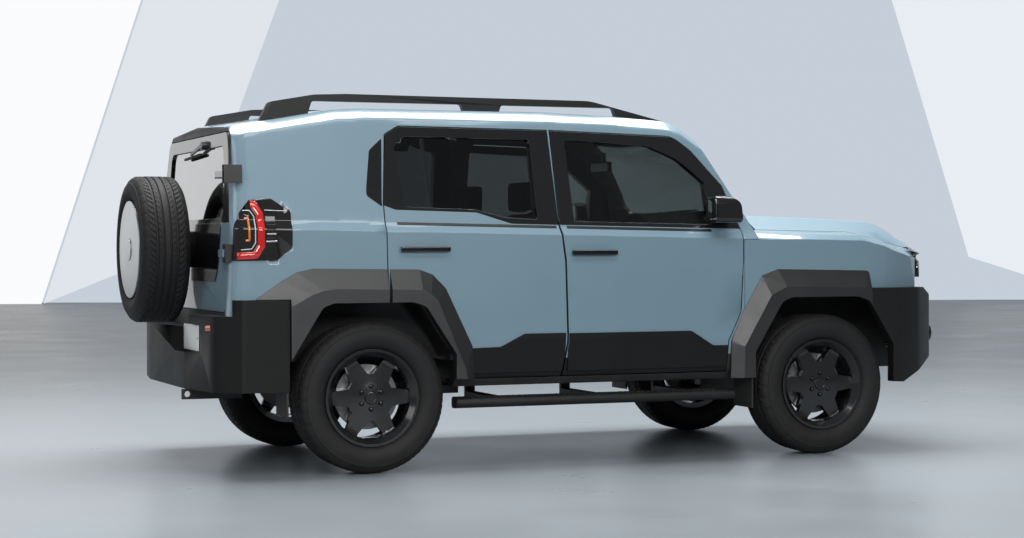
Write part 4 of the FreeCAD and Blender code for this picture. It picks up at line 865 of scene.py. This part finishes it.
# %% Thin coverings, and where they land
def patch(name, outline, drop_to, height, finish, body, cell=0.02):
    """A thin covering of a flat outline, laid on a surface; drop_to gives a place and a way out."""
    work = bmesh.new()
    work.faces.new([work.verts.new((u, v, 0)) for u, v in outline])
    for k in range(2):
        low, high = min(p[k] for p in outline), max(p[k] for p in outline)
        for i in range(1, int((high - low) / cell)):
            place, normal = [0, 0, 0], [0, 0, 0]
            place[k], normal[k] = low + i * cell, 1
            slice_by(work, (place, normal))
    ways = {vert: drop_to(vert.co.xy) for vert in work.verts}
    bmesh.ops.triangulate(work, faces=work.faces[:])
    work.verts.ensure_lookup_table()
    out = ways[work.verts[0]][1]
    for vert, (place, way) in ways.items():
        vert.co = place - way * SINK
    for vert in extruded(work, work.faces[:]):
        vert.co += out * (height + SINK)
    add(name, work, finish, body, smooth=35)


BACK_SKIN = REAR_AXLE - 0.712              # the back door's skin at 1.1 m up


def on_back(flat):
    """Drops a flat (y, z) point onto the leaning back panel."""
    lean = BACK_SKIN + 0.05 * (flat.y - 1.1)
    return Vector((lean, flat.x, flat.y)), Vector((-1, 0, 0))


def along(*points):
    """Flat points measured from the rear axle, moved into the frame."""
    return [(REAR_AXLE + x, z) for x, z in points]

# %% [markdown]
# ## Lamps
#
# The tail lamp is one smoked body. A raised red bar bends round its rear edge,
# with a thin pale light line inside it. In front lie three dark cells between a
# pale line and a bright one.

# %% Tail lamps
RED_BAR = material("red_bar", (0.50, 0.010, 0.008), 0.12, rough_swing=0.03, grain=(90.0, 0.2),
                   edge=0.003, Coat_Weight=1.0, Coat_Roughness=0.03)
SMOKED = material("smoked_lens", (0.008, 0.006, 0.006), 0.07, rough_swing=0.02, grain=(60.0, 0.02),
                  Coat_Weight=1.0, Coat_Roughness=0.02)
PALE = material("pale_lens", (0.62, 0.64, 0.66), 0.16, rough_swing=0.04, grain=(150.0, 0.2),
                Coat_Weight=0.8)
refine("tail_lamps", SMOKED)
lamp_skin = skin_of("tail_lamps")
# name: path, width, height, finish, step along the path
LAMP_LINES = {
    "lamp_bar": (((-0.694, 1.350), (-0.602, 1.350), (-0.574, 1.302), (-0.574, 1.146),
                  (-0.602, 1.100), (-0.690, 1.096)), 0.036, 0.012, RED_BAR, 0.008),
    "light_line": (((-0.672, 1.320), (-0.622, 1.320), (-0.602, 1.290), (-0.602, 1.160),
                    (-0.622, 1.130), (-0.672, 1.126)), 0.005, 0.003, PALE, 0.008),
    "turn_line": (((-0.650, 1.172), (-0.632, 1.172), (-0.632, 1.282), (-0.650, 1.282)),
                  0.010, 0.002, AMBER_LENS, 0.008),
    "top_line": (((-0.548, 1.322), (-0.436, 1.318)), 0.0035, 0.002, PALE, 0.012),
    "foot_line": (((-0.548, 1.166), (-0.494, 1.168)), 0.009, 0.004, CHROME, 0.012)}
for side, sign in SIDES.items():
    for part, (path, width, height, finish, step) in LAMP_LINES.items():
        strip(f"{part}_{side}", lamp_skin, along(*path), width, height, finish,
              sign=sign, step=step)
    for i in range(3):
        z = 1.196 + 0.040 * i
        strip(f"lens_cell_{side}_{i}", lamp_skin, along((-0.546, z), (-0.498, z)),
              0.032, 0.004, GLOSS, sign=sign)

# %% [markdown]
# The headlight is a black housing behind clear glass, and two reflector bowls
# with a lens each stand inside it. They are round, so an outline is turned into
# each. The fog lamps and grille bars sit on the bumper's own face.

# %% Headlights and fog lamps
BOWL = [(-0.012, 0.006), (-0.010, 0.030), (-0.002, 0.046), (0.012, 0.054), (0.014, 0.058),
        (0.004, 0.059), (-0.016, 0.040), (-0.018, 0.006)]
EYE = [(-0.012, 0.0), (-0.012, 0.020), (0.004, 0.020), (0.010, 0.016), (0.014, 0.009), (0.015, 0.0)]
TO_FRONT, TO_BACK = (Matrix.Rotation(math.radians(turn), 4, "Z") for turn in (-90, 90))
refine("headlights", [CLEAR, SMOKED], lambda c, n: 1 if n.x < 0.3 else 0)
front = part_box("headlights")[1][0]
for side, sign in SIDES.items():
    for tag, inwards, y, z in (("inner", 0.0, 0.500, 1.050), ("outer", 0.028, 0.630, 1.042)):
        place = Matrix.Translation((front - 0.030 - inwards, sign * y, z)) @ TO_FRONT
        for part, outline, finish in (("bowl", BOWL, CHROME), ("eye", EYE, PALE)):
            turned_piece(f"head_{part}_{side}_{tag}", outline, 40, place, finish, "root")

# %% Fog lamps and lower grille bars, set on the bumper's face
FOG_RING = [(-0.002, 0.030), (-0.002, 0.050), (0.006, 0.050), (0.012, 0.047), (0.006, 0.038),
            (0.002, 0.030)]
FOG_LENS = [(-0.002, 0.0), (-0.002, 0.034), (0.003, 0.034), (0.008, 0.024), (0.010, 0.010),
            (0.011, 0.0)]
bumper_face = skin_of("front_bumper")
for side, sign in SIDES.items():
    start = Vector((AHEAD_OF, sign * 0.640, 0.640))
    spot, normal = bumper_face.ray_cast(start, Vector((-1, 0, 0)))[:2]
    place = (Matrix.Translation(spot)
             @ Vector((0, 1, 0)).rotation_difference(normal).to_matrix().to_4x4())
    for part, outline, finish in (("ring", FOG_RING, GLOSS), ("lens", FOG_LENS, PALE)):
        turned_piece(f"fog_{part}_{side}", outline, 40, place, finish, "root")
for i in range(4):
    z = 0.585 + 0.034 * i
    strip(f"lower_grille_{i}", bumper_face, [(-0.52, z), (0.52, z)], 0.018, 0.006, GLOSS,
          axis="X", step=0.03)
print("lamps and grille bars are on; the front reaches", round(front, 3), "m")

# %% [markdown]
# ## Fittings
#
# Small pieces that a drawing leaves out: seals under the windows, mirror glass
# and its turn lens, and others further on.

# %% Plates with eased edges
def plate(name, outline, place, thick, finish, body, soft=0.006):
    """A thin plate with an eased edge; place maps a flat point and a height to the frame."""
    work = bmesh.new()
    low = [work.verts.new(place(p, 0.0)) for p in outline]
    rim = [work.verts.new(place(p, thick * 0.6)) for p in outline]
    count = len(outline)
    centre = Vector([sum(p[i] for p in outline) / count for i in range(2)])
    inner = [Vector(p).lerp(centre, soft / (Vector(p) - centre).length) for p in outline]
    top = [work.verts.new(place(p, thick)) for p in inner]
    for a, b in ((low, rim), (rim, top)):
        for i in range(count):
            work.faces.new((a[i], a[(i + 1) % count], b[(i + 1) % count], b[i]))
    work.faces.new(top)
    work.faces.new(low)
    add(name, work, finish, body, smooth=35)


def eased(corners, radius, steps=5):
    """A polygon with its corners rounded."""
    points = []
    corners = [Vector(c) for c in corners]
    for i, corner in enumerate(corners):
        a = (corners[i - 1] - corner).normalized()
        b = (corners[(i + 1) % len(corners)] - corner).normalized()
        p, q = corner + a * radius, corner + b * radius
        for j in range(steps + 1):
            t = j / steps
            points.append(tuple(p.lerp(corner, t).lerp(corner.lerp(q, t), t)))
    return points

# %% Window seals and mirror parts
MIRROR_BACK = AXLES[1] - 0.700
MIRROR_GLASS = material("mirror_glass", (0.75, 0.78, 0.80), 0.02, metal=1.0, rough_swing=0.0,
                        vary=0.01, grain=(5.0, 0.0))
WAIST = {"front": ((1.070, 1.2395), (1.912, 1.2225)), "rear": ((0.140, 1.2575), (1.010, 1.2405))}
for side, sign in SIDES.items():
    body = BODY_OF[f"mirror_{side}"]
    glass_edge = eased([(0.884, 1.280), (0.986, 1.278), (0.986, 1.384), (0.890, 1.394)], 0.016)
    plate(f"mirror_glass_{side}", glass_edge,
          lambda p, h, sign=sign: Vector((MIRROR_BACK - h, sign * p[0], p[1])), 0.002,
          MIRROR_GLASS, body)
    strip(f"mirror_turn_lens_{side}", skin_of(f"mirror_{side}"),
          [(sign * 0.905, 1.306), (sign * 0.975, 1.312)], 0.016, 0.002, PALE, body,
          axis="X", step=0.006)
    for row in ("front", "rear"):
        strip(f"waist_seal_{row}_{side}", skin_of(f"{row}_door_{side}"), along(*WAIST[row]),
              0.014, 0.0025, SATIN, BODY_OF[f"{row}_door_{side}"], sign=sign)

# %% [markdown]
# The CAD windscreen stops short of the roof in the middle. The real one meets
# it, so the glass is measured column by column and carried on to the roof's
# edge, with a black border along the top. Solidify then gives it its thickness.

# %% Windscreen
COLUMNS, ROWS, EXTRA = 71, 16, 8           # points across, up the glass, and on to the roof
BORDER_ROWS = 2
IN_FROM_EDGE, FINE = 0.004, 0.003          # first column, and how finely heights are tried
ROOF, ROOF_GAP, FEWEST_HITS = 1.80, 0.22, 4


def screen_columns():
    """Columns of points up the glass, each carried on to the edge of the roof."""
    shell, pane = skin_of("body_shell"), skin_of("windshield")
    low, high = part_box("windshield")
    columns = []
    for i in range(COLUMNS):
        y = low[1] + IN_FROM_EDGE + (high[1] - low[1] - 2 * IN_FROM_EDGE) * i / (COLUMNS - 1)
        hits, edge = [], None
        z = low[2]
        while z < ROOF and edge is None:
            start = Vector((AHEAD_OF, y, z))
            glass_hit = pane.ray_cast(start, Vector((-1, 0, 0)))[0]
            shell_hit = shell.ray_cast(start, Vector((-1, 0, 0)))[0]
            if glass_hit is not None and (shell_hit is None or glass_hit.x > shell_hit.x):
                hits.append(glass_hit)
            elif (len(hits) >= FEWEST_HITS and shell_hit is not None
                  and shell_hit.x > hits[-1].x - ROOF_GAP):
                edge = shell_hit + Vector((-0.010, 0, -0.003))
            z += FINE
        if len(hits) < FEWEST_HITS or edge is None:
            continue
        picks = [hits[round(j * (len(hits) - 1) / (ROWS - 1))] for j in range(ROWS)]
        gap = edge - picks[-1]
        columns.append(picks + [picks[-1] + gap * (j + 1) / EXTRA for j in range(EXTRA)])
    return columns


columns = screen_columns()
print("windscreen columns", len(columns))
work = bmesh.new()
grid = [[work.verts.new(point) for point in column] for column in columns]
for a, b in zip(grid, grid[1:]):
    for j in range(len(a) - 1):
        face = work.faces.new((a[j], b[j], b[j + 1], a[j + 1]))
        face.material_index = 1 if j >= len(a) - 1 - BORDER_ROWS else 0
for face in work.faces:
    face.normal_update()
if work.faces[:][0].normal.x < 0:
    bmesh.ops.reverse_faces(work, faces=work.faces[:])
mesh = bpy.data.meshes.new("windscreen")
dress(mesh, [TINTED, GLOSS])
work.to_mesh(mesh)
work.free()
mesh.shade_smooth()
screen = shown("windscreen", mesh)
wall = screen.modifiers.new("glass thickness", "SOLIDIFY")
wall.thickness, wall.offset = 0.005, -1.0
adopt(screen, "windshield")

# %% [markdown]
# Behind the rear doors and round the back glass lie thin gloss-black covers. As
# flat outlines laid on the panel they keep its curve. The wiper's parts stand
# off the leaning back door, so they are plates between two distances from it.

# %% Quarter trims, garnish, rear wiper and the divider in the rear window
QUARTER = eased([(0.090, 1.692), (0.066, 1.365), (0.069, 1.340), (-0.013, 1.398), (-0.010, 1.440),
                 (0.019, 1.630)], 0.012, 4)
shell_skin = skin_of("body_shell")
for side, sign in SIDES.items():
    patch(f"quarter_trim_{side}", along(*QUARTER),
          lambda flat, sign=sign: drop(shell_skin, flat, "Y", sign), 0.0008, GLOSS, "root")
    strip(f"window_divider_{side}", skin_of(f"rear_glass_{side}"),
          along((0.330, 1.322), (0.318, 1.520), (0.306, 1.716)), 0.022, 0.003, GLOSS,
          BODY_OF[f"rear_glass_{side}"], sign=sign, step=0.02)
door_body = BODY_OF["back_door"]
garnish = eased([(0.550, 0.965), (0.600, 1.040), (0.620, GARNISH_TOP), (-0.620, GARNISH_TOP),
                 (-0.600, 1.040), (-0.550, 0.965)], 0.02, 4)
patch("back_garnish", garnish, on_back, 0.004, GLOSS, door_body, cell=0.1)


def bar_on_back(name, corners, round_off, finish, low, high):
    """A flat bar on the back door, between two distances behind its skin."""
    def place(p, h):
        lean, way = on_back(Vector(p))
        return lean + way * (low + h)
    plate(name, eased(corners, round_off), place, high - low, finish, door_body,
          soft=0.003)


bar_on_back("wiper_boss", [(-0.222, 1.648), (-0.178, 1.648), (-0.178, 1.692), (-0.222, 1.692)],
            0.018, SATIN, -0.002, 0.024)
bar_on_back("wiper_arm", [(-0.214, 1.660), (0.050, 1.622), (0.054, 1.634), (-0.206, 1.682)],
            0.005, SATIN, 0.012, 0.022)
bar_on_back("wiper_blade", [(-0.130, 1.616), (0.230, 1.604), (0.230, 1.616), (-0.130, 1.630)],
            0.004, FLAP, 0.001, 0.013)

# %% [markdown]
# The rear bumper carries two reflectors and a blank number plate on bolts, and
# the spare wheel's cover has a round boss. Turned forms make the bolts and boss.

# %% Rear reflectors, blank plate and its bolts
bumper_skin = skin_of("rear_bumper")
for side, sign in SIDES.items():
    strip(f"reflector_{side}", bumper_skin, [(sign * 0.700, 0.738), (sign * 0.760, 0.742)], 0.026,
          0.003, RED_BAR, axis="X", sign=-1, step=0.01)
PLATE_WHITE = material("blank_plate", (0.72, 0.73, 0.72), 0.35, vary=0.02, grain=(300.0, 0.03))
plate_x = BACK_SKIN - 0.100
plate_edge = eased([(-0.585, 0.620), (-0.255, 0.620), (-0.255, 0.750), (-0.585, 0.750)], 0.010)
plate("number_plate", plate_edge, lambda p, h: Vector((plate_x - h - 0.001, p[0], p[1])), 0.003,
      PLATE_WHITE, "root", soft=0.003)
BOLT = [(0.0, 0.0), (0.0, 0.008), (0.002, 0.008), (0.0045, 0.006), (0.005, 0.0)]
for i, y in enumerate((-0.570, -0.270)):
    turned_piece(f"plate_bolt_{i}", BOLT, 20, Matrix.Translation((plate_x - 0.004, y, 0.685))
                 @ TO_BACK, CHROME, "root")
print("plate and reflectors are on; the plate stands at", round(plate_x, 3), "m")

# %% Boss in the middle of the spare wheel's cover
BOSS = [(0.0, 0.0), (0.0, 0.036), (0.003, 0.036), (0.0055, 0.033), (0.0065, 0.026), (0.005, 0.018),
        (0.005, 0.0)]
BOSS_RISE = 0.0066                         # keeps the boss inside the car's length
hub = middle("spare_cover")
face = skin_of("spare_cover").ray_cast(Vector((-3, hub.y, hub.z)), Vector((1, 0, 0)))[0]
place = Matrix.Translation((max(face.x, CAD_BOX[0][0] + BOSS_RISE), face.y, face.z)) @ TO_BACK
turned_piece("cover_boss", BOSS, 48, place, GLOSS, BODY_OF["spare_cover"])
print("boss of the cover at", round(hub.z, 3), "m up")

# %% [markdown]
# The step carries a row of rubber ribs. One rib is repeated along a line by the
# row group, which takes the count and the spacing as inputs.

# %% Ribs on the steps
RIB_STEP = 0.030


def rib(low, high, soft=0.001):
    """A small bar between two corners, with eased edges."""
    low, high = Vector(low), Vector(high)
    work = bmesh.new()
    bmesh.ops.create_cube(work, size=1.0, matrix=Matrix.Translation((low + high) / 2)
                          @ Matrix.Diagonal((*(high - low), 1)))
    bmesh.ops.bevel(work, geom=work.edges[:], offset=soft, segments=1, affect="EDGES")
    return work


step_skin = skin_of("side_steps")
x0, x1 = (corner[0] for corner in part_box("side_steps"))
count = int((x1 - x0 - 0.16) / RIB_STEP)
for side, sign in SIDES.items():
    y0, y1 = sorted((sign * 0.835, sign * 0.890))
    top = step_skin.ray_cast(Vector((x0 + 0.4, sign * 0.862, 2.0)), Vector((0, 0, -1)))[0].z
    ribs = copied(ROW, rib((x0 + 0.08, y0, top - 0.002), (x0 + 0.092, y1, top + 0.0025)),
                  Count=count, Step=(RIB_STEP, 0, 0), Finish=FLAP)
    add(f"step_ribs_{side}", ribs, FLAP, "root", smooth=35)
print("ribs on each step:", count)

# %% [markdown]
# A mirror hangs behind the screen on a short stem, and two wipers rest at its
# foot. The wipers are strips, since they follow the curve of the glass.

# %% Interior mirror and front wipers
for name, low, high, soft in (
        ("cabin_mirror", (1.640, -0.125, 1.555), (1.668, 0.125, 1.618), 0.009),
        ("cabin_mirror_stem", (1.655, -0.012, 1.600), (1.680, 0.012, 1.668), 0.004)):
    low, high = ((REAR_AXLE + x, y, z) for x, y, z in (low, high))
    add(name, rib(low, high, soft), GLOSS, "root", smooth=35)
screen_skin = skin_of("windshield")
for tag, y0, y1 in (("left", 0.14, 0.52), ("right", -0.52, -0.14)):
    strip(f"wiper_arm_{tag}", screen_skin, [(y0 + 0.03, 1.300), (y1 - 0.06, 1.345)], 0.014, 0.008,
          SATIN, axis="X")
    strip(f"wiper_blade_{tag}", screen_skin, [(y0 - 0.08, 1.352), (y1, 1.338)], 0.010, 0.010,
          FLAP, "root", axis="X")

# %% [markdown]
# ## Seats
#
# A cushion is a crowned box: full in the middle, drawn in at its seams. Moving
# the points of a fine grid by a rule gives that form the same way each run, and
# seats behind tinted glass need no simulated cloth.

# %% Cushion builder
SEAM_WIDTH = 0.035


def cushion(name, low, high, seams=(), lean=0.0, pivot=None):
    """A padded block between two corners, leaned about a pivot at its lower rear edge.

    Each seam is an axis, a place on it from -1 to 1, and a depth."""
    low, high = Vector(low), Vector(high)
    size, centre = high - low, (high + low) / 2
    work = bmesh.new()
    bmesh.ops.create_cube(work, size=1.0)
    bmesh.ops.subdivide_edges(work, edges=work.edges, cuts=22, use_grid_fill=True)
    thin = min(range(3), key=lambda i: size[i])
    wide = [i for i in range(3) if i != thin]
    for vert in work.verts:
        p = vert.co * 2.0
        rounding = 1.0 - 0.10 * (abs(p[wide[0]]) ** 6 + abs(p[wide[1]]) ** 6)
        pull = 1.0
        for axis, at, depth in seams:
            pull -= depth * math.exp(-(abs(p[axis] - at) / SEAM_WIDTH) ** 2)
        q = Vector(p)
        for i in wide:
            other = wide[1] if i == wide[0] else wide[0]
            q[i] = p[i] * (1.0 - 0.045 * abs(p[other]) ** 4 - 0.05 * abs(p[thin]) ** 3)
        bulge = (1 - p[wide[0]] ** 4) * (1 - p[wide[1]] ** 4)
        q[thin] = p[thin] * rounding * pull * (1.0 - 0.30 * (1 - bulge) * 0.6)
        vert.co = Vector([centre[i] + q[i] * size[i] / 2 for i in range(3)])
    if lean:
        away = Matrix.Translation(pivot)
        turn = away @ Matrix.Rotation(lean, 4, "Y") @ Matrix.Translation(-Vector(pivot))
        bmesh.ops.transform(work, matrix=turn, verts=work.verts)
    piece = add(name, work, CLOTH, "root", smooth=60)
    return piece

# %% Front seats and rear bench
SEAT_Z, BACK_TOP = 0.64, 1.325
BACK_LEAN = -math.radians(9)
FLUTES, PANELS = ([(1, -at, depth), (1, at, depth)] for at, depth in ((0.52, 0.10), (0.3, 0.12)))


def seat_pads(seat_name, back_name, node, x, y0, y1, seams):
    """A seat cushion, which stands for the node, and its back."""
    seat = cushion(seat_name, (x, y0, SEAT_Z + 0.005), (x + 0.50, y1, SEAT_Z + 0.135), seams)
    if node:
        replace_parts(seat, node)
    cushion(back_name, (x - 0.02, y0, SEAT_Z + 0.09), (x + 0.095, y1, BACK_TOP), seams,
            BACK_LEAN, (x, 0, SEAT_Z + 0.09))


def head_pad(name, x, y):
    cushion(name, (x - 0.125, y - 0.125, 1.330), (x - 0.050, y + 0.125, 1.485))


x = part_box("front_seats")[0][0] + 0.135
for side, sign in SIDES.items():
    y0, y1 = sorted((sign * 0.130, sign * 0.640))
    seat_pads(f"seat_front_{side}", f"seat_back_{side}", "front_seats" if sign > 0 else None,
              x, y0, y1, FLUTES)
    head_pad(f"seat_head_{side}", x, (y0 + y1) / 2)
    base = bmesh.new()
    place = Matrix.Translation((x + 0.25, (y0 + y1) / 2, 0.612))
    bmesh.ops.create_cube(base, size=1.0, matrix=place @ Matrix.Diagonal((0.38, 0.39, 0.062, 1)))
    bmesh.ops.bevel(base, geom=base.edges, offset=0.008, segments=2, affect="EDGES")
    add(f"seat_base_{side}", base, TRIM, "root", smooth=30)
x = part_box("rear_seat")[0][0] + 0.135
seat_pads("bench_cushion", "bench_back", "rear_seat", x, -0.56, 0.56, PANELS)
for tag, y in (("left", 0.40), ("middle", 0.0), ("right", -0.40)):
    head_pad("bench_head_" + tag, x, y)

# %% [markdown]
# ## Studio, light and camera
#
# A pale floor and a wall of plain panels, set square to the view. The panels
# show their own colour to the camera, gloss and glass, and light nothing else.

# %% Floor and backdrop tools
def stage_plane(name, points, finish):
    mesh = bpy.data.meshes.new(name)
    mesh.from_pydata(points, [], [tuple(range(len(points)))])
    mesh.materials.append(finish)
    shown(name, mesh)


def studio_finish(name, colour):
    """A backdrop that shows its own plain colour to the camera and in reflections."""
    made = material(name, colour, 0.9, vary=0.01, vary_scale=0.3, grain=(5.0, 0.0))
    tree = made.node_tree
    rays = put(tree, "ShaderNodeLightPath", -500, -600)
    seen = put(tree, "ShaderNodeMath", -300, -600, operation="MAXIMUM")
    clear = put(tree, "ShaderNodeMath", -120, -600, operation="MAXIMUM")
    glow = put(tree, "ShaderNodeEmission", 100, -500, Color=(*colour, 1))
    both = put(tree, "ShaderNodeMixShader", 450, -200)
    wire(tree, (rays, "Is Camera Ray", seen, 0), (rays, "Is Glossy Ray", seen, 1),
         (seen, 0, clear, 0), (rays, "Is Transmission Ray", clear, 1), (clear, 0, both, 0),
         (tree.nodes["Principled BSDF"], 0, both, 1), (glow, 0, both, 2),
         (both, 0, tree.nodes["Material Output"], "Surface"))
    return made


AIM = math.radians(21.77)
EYE_PLACE = Vector((REAR_AXLE - 3.173, -10.713, 1.138))
AHEAD = Vector((math.sin(AIM), math.cos(AIM), 0))
RIGHT = Vector((math.cos(AIM), -math.sin(AIM), 0))


def backdrop(name, finish_name, colour, depth, corners):
    """A panel square to the view: corners are metres right of its middle and up from the floor."""
    base = EYE_PLACE + AHEAD * depth
    points = [(base + RIGHT * u).to_tuple()[:2] + (GROUND + v,) for u, v in corners]
    stage_plane(name, points, studio_finish(finish_name, colour))

# %% Floor and panels
FLOOR = material("studio_floor", (0.205, 0.228, 0.245), 0.30, vary=0.14, vary_scale=1.1,
                 grain=(2.0, 0.02), rough_swing=0.08, Specular_IOR_Level=0.12)
stage_plane("studio_floor", [(-60, -30, GROUND), (60, -30, GROUND), (60, 60, GROUND),
                             (-60, 60, GROUND)], FLOOR)
backdrop("wall", "studio_wall", (0.56, 0.62, 0.69), 43.0, [(-60, 0), (60, 0), (60, 30), (-60, 30)])
backdrop("panel_bright", "studio_white", (0.96, 0.97, 0.98), 42.0,
         [(-60, 0), (-9.6, 0), (-7.4, 6.6), (-4.6, 15), (-60, 15)])
backdrop("panel_pale", "studio_pale", (0.74, 0.78, 0.83), 42.2,
         [(-9.6, 0), (-6.6, 1.2), (-4.6, 6.6), (-1.8, 15), (-4.6, 15), (-7.4, 6.6)])
backdrop("panel_right", "studio_light", (0.80, 0.85, 0.90), 42.4,
         [(9.4, 0.9), (12.2, 0), (12.2, 2.0), (10.4, 6.6), (8.0, 15), (5.4, 15), (7.7, 6.6)])

# %% [markdown]
# The camera stands low and far back with a long lens, which keeps the car's
# proportions. The lamps are large, so that their edges fall softly on the paint.

# %% Camera
camera_data = bpy.data.cameras.new("camera")
camera_data.sensor_width = 36.0
camera_data.lens = 72.4
camera = shown("camera", camera_data)
camera.location = EYE_PLACE
camera.rotation_euler = (math.radians(90 - 0.62), math.radians(0.18), -AIM)
bpy.context.scene.camera = camera
print("the camera stands", round(EYE_PLACE.length, 1), "m off")

# %% Light
world = bpy.data.worlds.new("studio")
bpy.context.scene.world = world
world.use_nodes = True
sky = world.node_tree.nodes["Background"].inputs
sky["Color"].default_value, sky["Strength"].default_value = (0.90, 0.95, 1.0, 1), 0.20


def lamp(name, place, target, size, power):
    data = bpy.data.lights.new(name, "AREA")
    data.shape = "RECTANGLE"
    data.size, data.size_y = size
    data.energy = power
    made = shown(name, data)
    made.location = place
    made.rotation_euler = (Vector(target) - Vector(place)).to_track_quat("-Z", "Y").to_euler()


lamp("overhead", (0.0, 1.0, 6.5), (0, 0, 0), (8, 4), 1100)
lamp("side", (-2.0, -9.0, 3.6), (0, 0, 0.9), (9, 1.6), 430)
lamp("high", (-1.0, -7.0, 8.6), (0, 0, 0.9), (9, 2.5), 330)
lamp("rear", (-8.5, -2.0, 3.6), (-1.8, 0, 1.1), (4, 3), 80)
print("lamps:", [data.name for data in bpy.data.lights])

# %% Plain view transform
bpy.context.scene.view_settings.view_transform = "Standard"
